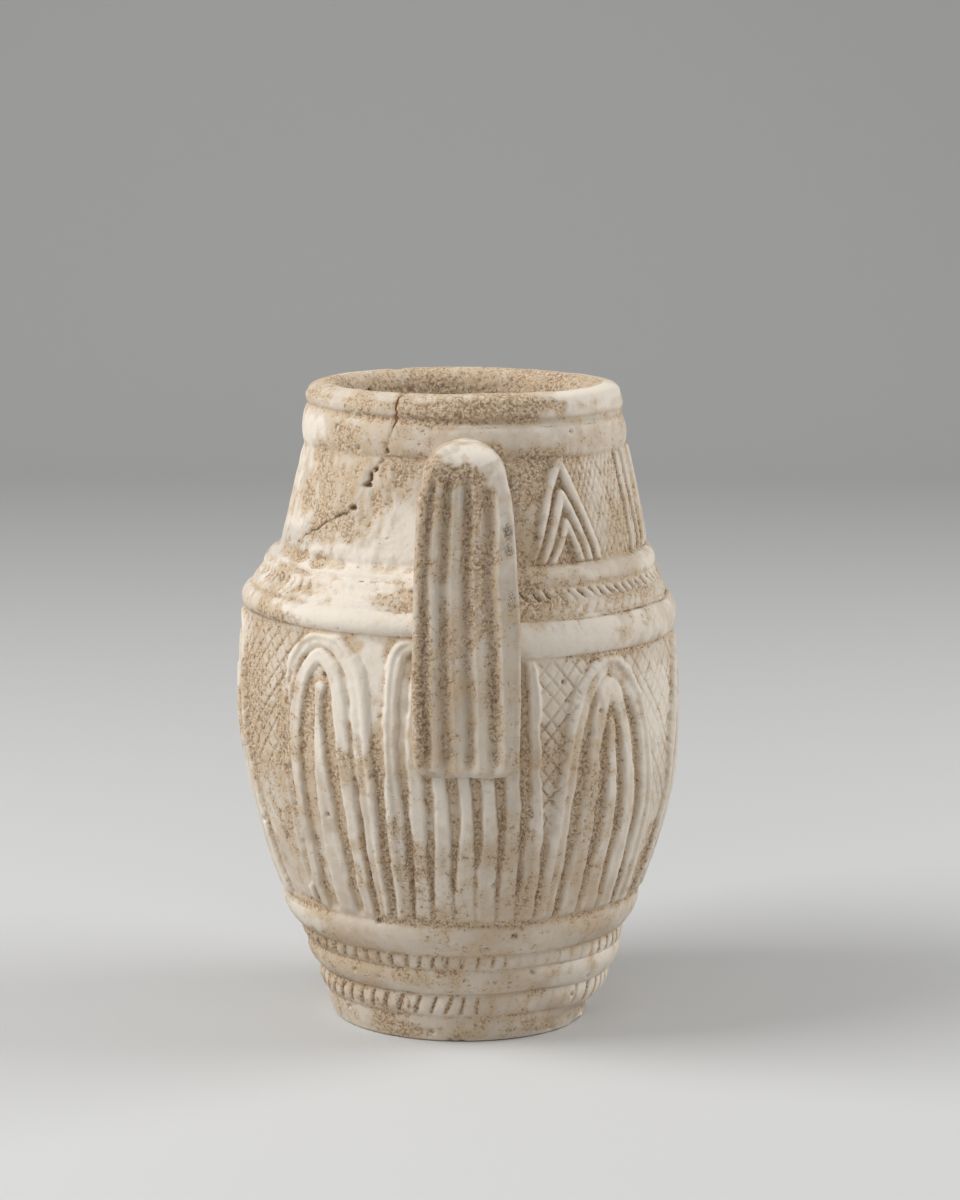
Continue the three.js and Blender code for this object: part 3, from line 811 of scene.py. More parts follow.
for centre, top, half_turn, spread, roundness, inner in ARCHES:
    near = np.abs(wrapped(np.degrees(round_turns) - centre)) < half_turn + 9
    scale = arch_radius[:, near] / ARCH_RADIUS
    across = np.radians(wrapped(belly.degrees[:, near] - centre)) * ARCH_RADIUS
    across += sway[:, near] / scale
    drop = top - belly.height[:, near] + 0.4 * sway[:, near]
    legs = step(drop, LEGS_START_DROP, LEGS_FULL_DROP)
    arch_half = math.radians(half_turn) * ARCH_RADIUS
    nested = ((0.0, 1.0, 0),) + inner
    for level, (inner_drop, width_share, shift) in enumerate(nested):
        gap = min(abs(width_share - other[1]) for other in nested if other[1] != width_share)
        at_foot = min(RIDGE_HALF_AT_FOOT, RIDGE_SHARE_OF_GAP * arch_half * gap)
        distance, beyond = distance_to_arch(across - math.radians(shift) * ARCH_RADIUS,
                                            drop - inner_drop, arch_half * width_share,
                                            spread * (1 + 0.3 * level), roundness)
        distance = distance * np.where(drop > inner_drop, scale, 1)
        breadth = RIDGE_HALF_AT_TOP[level] * (1 - legs) + at_foot * legs
        rounded = ridge(distance + ragged_edge[:, near], breadth * belly.breadth[:, near],
                        0.65 - 0.25 * legs)
        rounded *= 1 - belly.outer_wear[:, near] * (level == 0)
        ridges[:, near] = np.maximum(ridges[:, near], rounded)
        if level == 0:
            past_edge = np.where(beyond, distance, -distance)
            past_arches[:, near] = np.minimum(past_arches[:, near], past_edge)
            corner[:, near] *= step(past_edge, -0.3, 1.2)
on_left = belly.left > 0.5
roll_edge = BELLY_TOP + LEFT_ROLL_LIFT * on_left
ribs_end = step(belly.height, RIB_FOOT, RIB_FOOT + 2.6)
under_roll = step(roll_edge - belly.height, 0.2, 2.4)
ridges = np.minimum(RIDGE_FILL * ridges, 1)
ground = VALLEY_LEVEL * (1 - corner) + CORNER_LEVEL * corner
raised_lit_strip = spot(belly, -16, 118, 3.2, 22, 0.3)
ground += 0.6 * raised_lit_strip
carved = ground + RIDGE_HEIGHT * ridges * np.clip(belly.firm, 0.3, 1.15)
belly.relief += carved * ribs_end * under_roll
hatch_zone = step(past_arches, 1.7, 2.7) * step(roll_edge - belly.height, 0.8, 2.5)
hatch_zone *= step(belly.height - LEFT_HATCH_RAISED * on_left, HATCH_LOW_EDGE, HATCH_LOW_EDGE + 10)
hatch_zone *= np.maximum(step(belly.degrees, -29, -32), step(belly.degrees, -10, -7))
hatch = hatching(belly.turn * HATCH_RADIUS + 0.8 * sway, belly.height + 0.5 * sway, HATCH_PITCH,
                 HATCH_SLOPES, HATCH_HALF_WIDTH, 5) * hatch_zone
belly.relief -= HATCH_DEPTH * hatch
belly.crust += 0.45 * step(hatch, 0.2, 0.8) - 0.28 * hatch_zone * (1 - belly.left)
# Painted light: less crust on the strip of wall just left of the front handle, brightening it against
# the handle's shade.
belly.crust -= 0.4 * raised_lit_strip
belly.dirt += 0.45 * step(hatch, 0.4, 1.0) + 0.2 * (1 - ribs_end) * step(belly.height, 44, 45)
belly.crust += (0.2 + 0.3 * noise_at(belly.points, 14, 45)) * step(belly.height, 51, 46.5) * step(
    belly.height, 43.5, 45)
carve_losses(belly, ((68, 103, 5, 10, 0.6), (140, 120, 12, 10, 0.7), (-150, 60, 14, 9, 0.6),
                     (-30, 66, 5, 6, 0.35), (-47, 66, 4, 8, 0.5), (12, 78, 6, 10, 0.5)))
add_spots(belly, "crust", (
    (-66, 112, 15, 20, 0.38), (-40, 112, 8, 18, 0.25), (5, 79, 15, 20, 0.2), (-35, 62, 10, 8, 0.3),
    (-52, 108, 3, 16, 0.35), (40, 90, 7, 20, 0.15), (-27, 124, 5, 14, -0.25), (-31, 98, 3, 9, 0.35),
    (-50, 66, 12, 12, -0.35), (-24, 112, 4, 18, 0.25), (0, 84, 14, 7, -0.2), (-13, 64, 5, 10, 0.25),
    (48, 136, 22, 3, 0.4), (70, 60, 14, 12, 0.4), (-20, 90, 8, 16, 0.25), (-60, 76, 6, 8, 0.35),
    (-47, 108, 5, 22, 0.05), (70, 118, 16, 12, 0.2), (150, 100, 24, 26, 0.3),
    (-130, 110, 24, 30, 0.3), (180, 70, 20, 16, 0.25)), 240)
add_spots(belly, "rubbed", (
    (-22, 124, 9, 19, 0.6), (-36, 135, 10, 6, 0.5), (-50, 68, 12, 14, -0.4), (60, 118, 10, 12, 0.4),
    (44, 126, 9, 6, 0.4)), 260)
add_spots(belly, "dirt", (
    (-58.5, 71, 1.3, 2.5, 0.6), (63.5, 101, 1.3, 4, 0.5), (52, 105, 1, 1, 0.4),
    (-33, 118, 4, 5, 0.12)), 280)
weather(belly, 302)
for name, low, high in BELLY_RINGS:
    ring_piece(name, stacked(ring_rows(belly, seam(low), seam(high)),
                             hollow_rows(inside_reach(high), inside_reach(low), 8)))

# The shoulder and neck: a smooth roll, a band of two rows of leaf cuts that slant towards each
# other, a ring, and above them nested pointed arches between hatched fields, sharp on the right and
# rubbed away on the left. A second ring and a rounded lip end the neck, and the bore is scraped.

LEAF_COUNT = 98
LEAF_DEPTH = 1.0
LEAF_LEAN = 0.85
LEAF_ROWS_MEET = 0.52
CHEVRON_TURNS = (33.0, 90.0, 146.0, -90.0, -146.0)
CHEVRON_TOP = 197.8
CHEVRON_HALF_WIDTH = 66.0
CHEVRON_SPREAD = 140.0
CHEVRON_DROPS = (0.0, 10.6, 20.0)
CHEVRON_HALF_BREADTH = 1.95
CHEVRON_HEIGHT = 1.35
UPRIGHT_TURNS = (66.5, 73.5, 106.0, 113.0, -113.0)
NECK_HATCH_PITCH = 2.4
NECK_HATCH_SLOPES = (24.0, -28.0)
SLOPE_LOW = 156.5
SLOPE_HIGH = 170.0
NECK_BORE_END = 146.0

neck = wall_map(seam(SHOULDER_SEAM), inside_reach(NECK_BORE_END))
band_low = np.where(neck.left > 0.5, 151.2, 148.9)
up = (neck.height - band_low) / (NOTCH_BAND_TOP + 0.4 - band_low)
in_band = step(up, -0.02, 0.03) * step(up, 1.02, 0.97) * neck.outside
from_middle = np.abs(up - LEAF_ROWS_MEET)
around = neck.turn * LEAF_COUNT / (2 * math.pi) + LEAF_LEAN * from_middle * 2
around += 0.4 * noise_at(neck.points, 7, 51)
leaf_across = np.abs(2 * (around % 1) - 1)
leaf = np.clip(1 - leaf_across ** 2.4, 0, 1) ** 0.8 * step(up, 0.0, 0.12)
leaf *= 1 - 0.7 * np.clip(1 - from_middle / 0.12, 0, 1)
upper_row = step(up, 0.5, 0.72) * step(up, 1.0, 0.9)
in_band *= step(up, 1.02, 0.82) * (0.35 + 0.75 * upper_row)
in_band *= 1 - 0.85 * step(neck.degrees, -54, -42) * neck.left
lumpy = layered_noise(neck.points, 3.6, 57, 3)
neck.relief -= LEAF_DEPTH * (1 - leaf) * in_band * (1 + 0.9 * noise_at(neck.points, 5, 53))
neck.relief += 0.9 * np.minimum(lumpy, 0.15) * in_band
neck.crust += (0.3 * (1 - leaf) + 0.25 * np.clip(-lumpy, 0, 1)) * in_band
neck.dirt += (0.3 + 0.8 * upper_row) * step(1 - leaf, 0.4, 0.85) * in_band * step(lumpy, 0.8, 0.2)
scored = np.abs(neck.height - 148.4 - 0.4 * noise_at(neck.points, 14, 55)) / 0.6
scored = np.clip(1 - scored, 0, 1) * (1 - neck.left) * neck.outside
neck.relief -= 0.6 * scored
neck.dirt += (0.6 + 0.6 * noise_at(neck.points, 4, 59)) * scored

neck_radius = outside_radius(neck.level)
neck_sway = 0.5 * layered_noise(neck.points, 15, 61, 2)
chevrons = np.zeros_like(neck.turn)
in_chevron = np.zeros_like(neck.turn)
for centre in CHEVRON_TURNS:
    near = np.abs(wrapped(np.degrees(round_turns) - centre)) < 17
    across = np.radians(wrapped(neck.degrees[:, near] - centre)) * neck_radius[:, near]
    across = across + neck_sway[:, near]
    for inner_drop in CHEVRON_DROPS:
        drop = CHEVRON_TOP - inner_drop - neck.height[:, near]
        distance, beyond = distance_to_arch(across, drop, CHEVRON_HALF_WIDTH, CHEVRON_SPREAD, 1.0)
        chevrons[:, near] = np.maximum(chevrons[:, near], ridge(distance, CHEVRON_HALF_BREADTH, 0.6))
        if inner_drop == 0:
            within = step(np.where(beyond, -distance, distance), -2.2, -1.2)
            in_chevron[:, near] = np.maximum(in_chevron[:, near], within)
for centre in UPRIGHT_TURNS:
    across = np.radians(wrapped(neck.degrees - centre)) * neck_radius + neck_sway
    chevrons = np.maximum(chevrons, 0.7 * ridge(across, 1.1))
    in_chevron = np.maximum(in_chevron, step(np.abs(across), 2.2, 1.2))
neck_zone = step(neck.height, SHOULDER_RING_TOP, SHOULDER_RING_TOP + 1.5) * neck.outside
neck_zone *= step(neck.height, NECK_RING_BASE + 0.6, NECK_RING_BASE - 1.2)
neck_zone *= step(np.abs(neck.degrees), 20, 25)
beds = np.clip(in_chevron - chevrons, 0, 1) * neck_zone
neck_hatch = hatching(neck.turn * 58 + neck_sway, neck.height + neck_sway, NECK_HATCH_PITCH,
                      NECK_HATCH_SLOPES, 0.55, 9) * (1 - in_chevron) * neck_zone
worn_away = neck.left * step(neck.degrees, -125, -95)
neck_hatch *= 1 - 0.85 * worn_away
beds *= 1 - worn_away
neck.relief += CHEVRON_HEIGHT * chevrons * neck_zone * (1 - worn_away) - 0.75 * beds
neck.relief -= 0.5 * neck_hatch
neck.crust += 0.3 * step(neck_hatch, 0.2, 0.8) + 0.3 * beds
neck.dirt += 0.35 * step(neck_hatch, 0.5, 1.0)
streaks = noise_at(neck.points * [1, 1, 0.22], 1.9, 65) * worn_away * neck_zone
neck.relief += 0.25 * streaks
neck.crust -= 0.2 * streaks
slope_ends = np.array((SLOPE_LOW, SLOPE_HIGH))
above_slope = np.interp(neck.level, slope_ends, outside_radius(slope_ends)) - neck.radius
above_slope *= (neck.level > SLOPE_LOW) & (neck.level < SLOPE_HIGH)
neck.relief += 0.9 * spot(neck, -52, 163, 46, 9, 0.3, 10, 63) * np.minimum(above_slope, 0)
under_lip = np.exp(-((neck.height - LIP_BASE - 0.3) / 0.8) ** 2) * neck.outside
neck.relief -= 0.5 * under_lip * step(neck.degrees, -70, -40)
lip_line = np.exp(-((neck.height - 209.3 - 0.3 * noise_at(neck.points, 12, 69)) / 0.4) ** 2)
lip_line *= step(neck.degrees, -18, -4) * neck.outside
neck.relief -= 0.2 * lip_line
neck.dirt += 0.8 * lip_line * step(noise_at(neck.points, 7, 68), -0.3, 0.5)
bore_hole = np.hypot(wrapped(neck.degrees + 129) / 2.2, (neck.height - 213.5) / 1.6)
bore_hole = step(bore_hole + 0.5 * noise_at(neck.points, 1.7, 67), 1.2, 0.7) * ~neck.outside
neck.relief -= 1.2 * bore_hole
neck.dirt += 0.9 * bore_hole
carve_losses(neck, (
    (-27, 173, 14, 14, 0.9), (-38, 161, 24, 6, 1.7), (-15, 190, 9, 12, 0.8), (-58, 188, 10, 11, 0.5),
    (-66, 161, 22, 5, 1.5), (24, 190, 9, 9, 0.7), (-9, 207, 14, 5, 0.4), (62, 152, 5, 3, 0.7),
    (-120, 158, 16, 6, 1.2), (110, 190, 13, 10, 0.8)))
add_spots(neck, "crust", (
    (-14, 192, 18, 11, -0.1), (-54, 184, 14, 14, 0.42), (12, 215.5, 20, 4.5, 0.9),
    (38, 215, 18, 4, 0.15), (-64, 217, 10, 3, 0.3), (22, 194, 9, 7, 0.38), (-34, 216, 12, 4, 0.35),
    (33, 170, 12, 9, 0.3), (24, 184, 8, 10, 0.22), (45, 159, 26, 2.2, 0.35), (27, 151, 9, 4, 0.3),
    (50, 153, 22, 2, 0.2), (20, 166, 5, 5, 0.3), (50, 203, 26, 5, 0.15), (60, 178, 9, 14, 0.15),
    (-12, 215, 14, 5, 0.5), (18, 200, 16, 4, 0.35), (19, 155, 4, 12, 0.3), (30, 160, 20, 3, 0.15),
    (-62, 153, 13, 5, 0.3), (110, 185, 26, 14, 0.3), (-160, 180, 22, 18, 0.3), (-56, 165, 16, 3, 0.3),
    (-48, 203.5, 9, 5, 0.4), (-66, 144, 9, 3, 0.35), (-52, 145, 6, 3, 0.35), (-28, 153, 22, 3, 0.2),
    (50, 184, 14, 14, 0.2), (-48, 173, 16, 6, 0.3), (-24, 190, 6, 12, 0.2)), 270)
# The patch at turn -80, height 180 is a painted highlight along the left edge of the neck; the others
# are rubbed stone.
add_spots(neck, "rubbed", (
    (-32, 148, 24, 6, 0.6), (-72, 205, 14, 5, 0.5), (12, 217, 20, 5, -0.5), (-30, 162, 26, 7, 0.6),
    (-80, 180, 14, 24, 0.4), (45, 142, 34, 6, 0.45), (60, 218, 30, 3, 0.45), (-59, 144, 3, 4, 0.6),
    (75, 160, 12, 4, 0.4), (140, 145, 36, 8, 0.5), (-130, 147, 36, 8, 0.5), (180, 142, 20, 8, 0.4),
    (-100, 205, 24, 8, 0.5), (-18, 174, 9, 9, 0.5)), 290)

# The break: the neck cracked from the rim behind the front handle round the left to the back, and
# once more between the two sherds that came off. Each line below is turns leftwards from the front
# handle, in degrees, and heights. The edges crumbled, and a grey filler hides the lower run.

FRONT_BREAK = ((65.2, 168.2), (60.7, 171.0), (54.7, 173.9), (49.5, 177.0), (42.3, 180.3),
               (39.6, 182.6), (35.2, 189.9), (32.6, 195.6), (28.6, 200.2), (27.0, 205.9),
               (26.4, 209.0), (25.3, 214.0), (25.9, 226))
LOW_BREAK = ((65.2, 168.2), (70.9, 168.6), (85, 165.7), (100, 168.5), (118, 165.1), (136, 169),
             (152, 171.8))
BACK_BREAK = ((152, 171.8), (164.9, 177.4), (176, 189.8), (184, 203.8), (187.9, 213.8), (191.5, 226))
SHERD_BREAK = ((147.2, 166), (145.4, 180.8), (150.5, 190.3), (149, 202.1), (152.6, 212.2),
               (151.2, 226))
ARC_PER_DEGREE = 1.01
OPEN_BREAK_START = 209.0
OPEN_HALF_GAP = 0.45
CLOSED_HALF_GAP = 0.06
JAG_SIZE = 1.3
JAG_DEPTH = 0.5
JAG_COUNT = 512
NECK_START = 168.0
NECK_JOIN_END = 178.0
SHOULDER_JOIN_START = 158.0
SHOULDER_BORE_ROWS = 20
NECK_SPLIT = 270.0

# Each hole in the break is its turn, height, their half sizes and the depth.
BREAK_HOLES = ((-32.5, 195.0, 1.3, 0.9, 1.3), (-35.4, 189.9, 1.7, 0.8, 1.4),
               (-34.4, 192.6, 0.7, 1.9, 0.7), (-40.4, 182.1, 2.0, 0.8, 1.4),
               (-28.0, 201.3, 0.7, 0.9, 0.5))
low_line = np.array(LOW_BREAK)
jag_numbers = np.random.default_rng(71).random(JAG_COUNT) * 2 - 1


def jag(along):
    """A small zigzag along a break: seeded numbers every jag size, joined by straight lines."""
    return JAG_DEPTH * np.interp(along / JAG_SIZE, np.arange(JAG_COUNT), jag_numbers)


def distance_to_break(left_turn, up, line):
    """Distance in millimetres to a line of turns and heights."""
    return distance_to_line(left_turn * ARC_PER_DEGREE, up, np.array(line) * [ARC_PER_DEGREE, 1])


left_turn = (-neck.degrees) % 360
front_turn = left_turn - jag(neck.level) / ARC_PER_DEGREE
to_low, to_front, to_back, to_sherd = (
    distance_to_break(turn, neck.level - lift, line) for turn, lift, line in (
        (left_turn, jag(left_turn), LOW_BREAK), (front_turn, 0, FRONT_BREAK),
        (front_turn, 0, BACK_BREAK), (front_turn, 0, SHERD_BREAK)))
to_break = np.minimum(np.minimum(to_low, to_front), np.minimum(to_back, to_sherd))
crumbling = step(layered_noise(neck.points, 6, 71), -0.35, 0.4)
neck.relief -= 0.7 * np.exp(-(to_break / 0.8) ** 2) * crumbling
sunken = step(layered_noise(neck.points, 9, 73), 0.1, 0.5)
neck.relief -= 0.5 * np.exp(-(to_break / 3.0) ** 2) * sunken
neck.dirt += (0.25 + 0.5 * crumbling) * np.exp(-(to_break / 0.55) ** 2) * neck.outside
to_hairline = distance_to_break(left_turn, neck.level - 0.9 * noise_at(neck.points, 2.4, 79),
                                FRONT_BREAK)
hairline = step(to_hairline, 0.5, 0.2) * step(neck.level, 182, 180) * neck.outside
hairline *= 0.4 + 0.6 * step(noise_at(neck.points, 5, 78), -0.3, 0.3)
neck.dirt += 0.9 * hairline
neck.relief -= 0.25 * hairline
crusted = step(layered_noise(neck.points, 7, 77), -0.2, 0.4)
neck.crust += 0.3 * np.exp(-(to_break / 2.2) ** 2) * crusted
smoothed_over = np.minimum(to_low, to_front + 9 * step(neck.level, 188, 200))
neck.filler += 0.9 * np.exp(-(smoothed_over / 6) ** 2) * neck.outside
for turn, height, half_turn, half_height, depth in BREAK_HOLES:
    break_hole = spot(neck, turn, height, half_turn, half_height, 0.8, 1.4, 75, 0.2)
    neck.relief -= depth * break_hole
    neck.dirt += 0.8 * break_hole
weather(neck, 303)


def join_height(left_turns):
    """The height where the neck pieces start: along the low break on the left, and level again
    from its back end round to its front end elsewhere."""
    start = low_line[0, 0]
    round_from_start = (left_turns - start) % 360 + start
    heights = np.interp(round_from_start, np.append(low_line[:, 0], start + 360),
                        np.append(low_line[:, 1], low_line[0, 1]))
    return heights + jag(left_turns % 360) * (round_from_start < low_line[-1, 0])


def break_turn(line, levels, side):
    """The turn of a break at a height, moved half the gap to one side. Only the front break gapes,
    and only above a height."""
    turns, heights = np.array(line).T
    open_share = step(levels, OPEN_BREAK_START - 3, OPEN_BREAK_START) * (line is FRONT_BREAK)
    gap = CLOSED_HALF_GAP + (OPEN_HALF_GAP - CLOSED_HALF_GAP) * open_share
    return np.interp(levels, heights, turns) + (jag(levels) + side * gap) / ARC_PER_DEGREE


def neck_piece(name, columns, first_edge, second_edge, replaced):
    """A piece of the neck between two edges, functions that give the left turn at a height: a
    closed shell with rows up the outside, over the lip and down the bore, joined below and along
    both edges through the wall."""
    outer = np.arange(outside_reach(NECK_START), rim_reach, ROW_STEP)
    inner = np.linspace(rim_reach, inside_reach(NECK_START), len(outer) + 2)
    reach = np.concatenate([outer, inner])[:, None]
    level = at_reach(reach, 1)
    share = np.linspace(0, 1, columns)[None, :]
    rough_turn = first_edge(level) * (1 - share) + second_edge(level) * share
    shift = (join_height(rough_turn) - NECK_START) * step(level, NECK_JOIN_END, NECK_START)
    moved = np.where(reach < rim_reach, outside_reach(level + shift), inside_reach(level + shift))
    reach = np.where(level < NECK_JOIN_END, moved, reach + 0 * share)
    level = np.where(level < NECK_JOIN_END, level + shift, level + 0 * share)
    left = first_edge(level) * (1 - share) + second_edge(level) * share
    fields = on_wall(neck, -np.radians(left), reach)
    grid = np.arange(left.size).reshape(left.shape)[:, ::-1]
    half = len(outer)
    bottom = np.stack([grid[-1, :-1], grid[-1, 1:], grid[0, 1:], grid[0, :-1]], -1)
    sides = []
    for column, flip in ((grid[:, 0], False), (grid[:, -1], True)):
        up, down = column[:half + 1], column[::-1][:half + 1]
        side = np.stack([up[:-1], up[1:], down[1:], down[:-1]], -1)
        sides.append(side[:, ::-1] if flip else side)
    faces = np.concatenate([grid_faces(grid), bottom] + sides), []
    add_piece(name, fields, faces, carved_limestone, [replaced])


turns, reaches = np.meshgrid(round_turns, np.arange(seam(SHOULDER_SEAM), outside_reach(NECK_START),
                                                    ROW_STEP))
levels = at_reach(reaches, 1)
raised = join_height(-np.degrees(turns)) - NECK_START
reaches = outside_reach(levels + raised * step(levels, SHOULDER_JOIN_START, NECK_START))
shoulder_top = join_height(-np.degrees(round_turns))[None, :]
down_bore = np.linspace(0, 1, SHOULDER_BORE_ROWS)[:, None]
bore_levels = shoulder_top + (NECK_BORE_END - shoulder_top) * down_bore
ring_piece("vessel_shoulder", stacked(
    on_wall(neck, turns, reaches), on_wall(neck, turns[:1], outside_reach(shoulder_top)),
    on_wall(neck, np.repeat(turns[:1], SHOULDER_BORE_ROWS, 0), inside_reach(bore_levels)),
    hollow_rows(inside_reach(NECK_BORE_END - 1), inside_reach(SHOULDER_SEAM), 5)))
neck_piece("neck_front_side", 340, lambda level: NECK_SPLIT + 0 * level,
           lambda level: 360 + break_turn(FRONT_BREAK, level, -1), "vessel_body")
neck_piece("neck_back_side", 260, lambda level: break_turn(BACK_BREAK, level, 1),
           lambda level: NECK_SPLIT + 0 * level, "vessel_body")
neck_piece("left_sherd", 270, lambda level: break_turn(FRONT_BREAK, level, 1),
           lambda level: break_turn(SHERD_BREAK, level, -1), "neck_sherd_left")
neck_piece("back_sherd", 90, lambda level: break_turn(SHERD_BREAK, level, 1),
           lambda level: break_turn(BACK_BREAK, level, -1), "neck_sherd_back")

# The glue: an old brown adhesive that was brushed on the broken faces before the sherds went back.
# It fills the cracks to just below both surfaces, and shows only where their edges gape.

GLUE_STEP = 0.8
GLUE_INSET = 0.8
GLUE_SUNK = 1.6
GLUE_HALF_WIDTH = 0.62
GLUE_TOP = 219.2
SHERD_CORNER = 147.0
MIDDLE_GLUE_START = 6
GLUE_LIGHT = (0.38, 0.155, 0.045, 1)
GLUE_DARK = (0.09, 0.037, 0.016, 1)

old_glue, glue_shader = new_material("brown_glue")
glue_noise = add_node(old_glue.node_tree, "TexNoise", {
    "Vector": add_node(old_glue.node_tree, "TexCoord").outputs["Object"], "Scale": 700.0,
    "Detail": 3.0})
glue_mix = add_node(old_glue.node_tree, "Mix", {0: glue_noise.outputs["Fac"], 6: GLUE_DARK,
                                                7: GLUE_LIGHT}, data_type="RGBA")
glue_bump = add_node(old_glue.node_tree, "Bump", {"Height": glue_noise.outputs["Fac"],
                                                  "Distance": 0.0004})
old_glue.node_tree.links.new(glue_mix.outputs[2], glue_shader.inputs["Base Color"])
old_glue.node_tree.links.new(glue_bump.outputs["Normal"], glue_shader.inputs["Normal"])
glue_shader.inputs["Roughness"].default_value = 0.5


def upright_break(line):
    """Turns and heights along a break that climbs to the rim."""
    turns, heights = np.array(line).T
    levels = np.arange(heights[0], GLUE_TOP, GLUE_STEP)
    return np.stack([np.interp(levels, heights, turns) + jag(levels) / ARC_PER_DEGREE, levels], 1)


def low_break(start, end):
    """Turns and heights along the low break between two turns, in either direction."""
    turns = np.arange(start, end, math.copysign(GLUE_STEP, end - start))
    return np.stack([turns, np.interp(turns, *low_line.T) + jag(turns)], 1)


def glue_piece(name, path, replaced):
    """A ribbon along a break: at each step a four-sided section through the wall, from just under
    the outside to just under the bore, that reaches half its width to both sides of the path."""
    ahead = np.gradient(path * [ARC_PER_DEGREE, 1], axis=0)
    ahead /= np.linalg.norm(ahead, axis=1, keepdims=True)
    aside = np.stack([-ahead[:, 1] / ARC_PER_DEGREE, ahead[:, 0]], 1) * GLUE_HALF_WIDTH
    sections = np.stack([path - aside, path + aside, path + aside, path - aside], 1)
    levels = np.minimum(sections[..., 1], GLUE_TOP)
    inset = GLUE_INSET + GLUE_SUNK * step(levels, OPEN_BREAK_START, OPEN_BREAK_START - 2)
    radius = outside_radius(levels) - inset
    radius[:, 2:] = at_reach(inside_reach(levels), 0)[:, 2:] + GLUE_INSET
    turns = -np.radians(sections[..., 0])
    points = round_axis(radius, turns, levels)
    normals = round_axis(np.array([1, 1, -1, -1]), turns, 0 * turns)
    finish = np.zeros(points.shape[:2] + (4,))
    add_piece(name, (points, normals, finish), round_faces(points), old_glue, [replaced])


glue_piece("left_glue", np.vstack([low_break(SHERD_CORNER, low_line[0, 0]),
                                   upright_break(FRONT_BREAK)]), "glue_left")
glue_piece("back_glue", np.vstack([low_break(SHERD_CORNER, low_line[-1, 0]),
                                   upright_break(BACK_BREAK)]), "glue_back")
glue_piece("middle_glue", upright_break(SHERD_BREAK)[MIDDLE_GLUE_START:], "glue_between")

# The handles: two straps cut from the same block, with a hole for a finger behind the upper part.
# Each springs from the neck in a round crown, comes down broader and flatter with four flutes in
# its face, and ends square on the belly. Hands rubbed the crown and one border smooth and pale.

STRAP_TOP = 206.3
CROWN_RADIUS = 76.7
CROWN_ROUNDING = 12.0
CROWN_SHARES = (0, 0.55, 1)
CROWN_HALF_WIDTHS = (13.6, 12.9, 14.0)
FACE_CORNER = 2.0
FACE_AT_GAP_FLOOR = (77.5, 172.0)
FACE_AT_SEAT = (77.8, 164.0)
FACE_END = (80.1, 100.7)
FOOT_ROUNDING = 2.6
FOOT_CORNER = 6.0
FOOT_CORNER_TOP = 104.1
FINGER_GAP_TOP = 195.8
FINGER_GAP_ROUNDING = 4.2
FINGER_GAP_HEEL_TOP = 172.0
FINGER_GAP_FLOOR = 168.0
FINGER_GAP_RADIUS = 69.1
SEAT_START = (58.0, 165.0)
NECK_ROOT = 50.0
ROOT_DEPTH = 4.0
ROOT_ROWS = 30
CROWN_ROWS = 40
GAP_ROWS = 44
HEEL_ROWS = 18
SEAT_ROWS = 126
FOOT_ROWS = 11
FACE_SAMPLES = 184
BACK_SAMPLES = 40
FLUTE_SHARES = (0.0, 0.05, 0.115, 0.18, 0.205, 0.29, 0.37, 0.43, 0.515, 0.59, 0.65, 0.745,
                0.83, 0.93, 1.0)
FLUTE_LEVELS = (0.0, -0.2, -1.5, -0.2, -0.1, -2.0, -0.45, -0.3, -2.1, -0.4, -0.3, -1.8,
                0.0, -0.15, 0.0)
FLUTE_TOP_SHARES = (0.0, 0.3, 0.6, 0.85)
FLUTE_TOPS = (195.6, 197.2, 195.8, 193.0)
STRAP_HEIGHTS = (98.1, 105.5, 121, 136, 151, 167, 182, 190, 194.3)
STRAP_WIDTHS = (17.4, 17.4, 17.7, 17.6, 17.3, 16.5, 15.8, 15.0, 14.0)
STRAP_LEAN = -0.9


def run(start, end, count):
    """Points on a straight line from start towards end, without the end itself."""
    start, end = np.array(start), np.array(end)
    return start + (end - start) * (np.arange(count) / count)[:, None]


def soft_steps(value, knots, levels):
    """Levels at knots, joined by smooth steps."""
    at = np.clip(np.searchsorted(knots, value, side="right") - 1, 0, len(knots) - 2)
    knots, levels = np.array(knots), np.array(levels)
    return levels[at] + (levels[at + 1] - levels[at]) * step(value, knots[at], knots[at + 1])


def out_and_down(radius, top, rounding, end, count):
    """A line from the root in the neck out to a radius, round a corner and down towards an end."""
    corner = (radius - rounding, top), (radius, top), (radius, top - rounding)
    return np.vstack([run((NECK_ROOT, top), corner[0], ROOT_ROWS),
                      bend_of(*corner, CROWN_ROWS + 1)[:-1], run(corner[2], end, count)])


turn_in = np.linspace(0, math.pi / 2, FOOT_ROWS)[:, None]
strap_face = np.vstack([
    out_and_down(CROWN_RADIUS, STRAP_TOP, CROWN_ROUNDING, FACE_AT_GAP_FLOOR, GAP_ROWS),
    run(FACE_AT_GAP_FLOOR, FACE_AT_SEAT, HEEL_ROWS), run(FACE_AT_SEAT, FACE_END, SEAT_ROWS),
    FACE_END - FOOT_ROUNDING * np.sin(turn_in) * [0, 1],
])
gap_heel = (FINGER_GAP_RADIUS, FINGER_GAP_HEEL_TOP)
seat = strap_face[-SEAT_ROWS - FOOT_ROWS:, 1]
strap_back = np.vstack([
    out_and_down(FINGER_GAP_RADIUS, FINGER_GAP_TOP, FINGER_GAP_ROUNDING, gap_heel, GAP_ROWS),
    bend_of(gap_heel, (FINGER_GAP_RADIUS, FINGER_GAP_FLOOR), SEAT_START, HEEL_ROWS + 1)[:-1],
    np.stack([outside_radius(seat) - ROOT_DEPTH, seat], 1),
])
strap_rows = np.arange(len(strap_face))
crown_share = np.clip((strap_rows - ROOT_ROWS) / CROWN_ROWS, 0, 1)
strap_width = np.where(strap_rows < ROOT_ROWS + CROWN_ROWS,
                       np.interp(crown_share, CROWN_SHARES, CROWN_HALF_WIDTHS),
                       np.interp(strap_face[:, 1], STRAP_HEIGHTS, STRAP_WIDTHS))
under_corner = np.clip(FOOT_CORNER_TOP - strap_face[:, 1], 0, FOOT_CORNER)
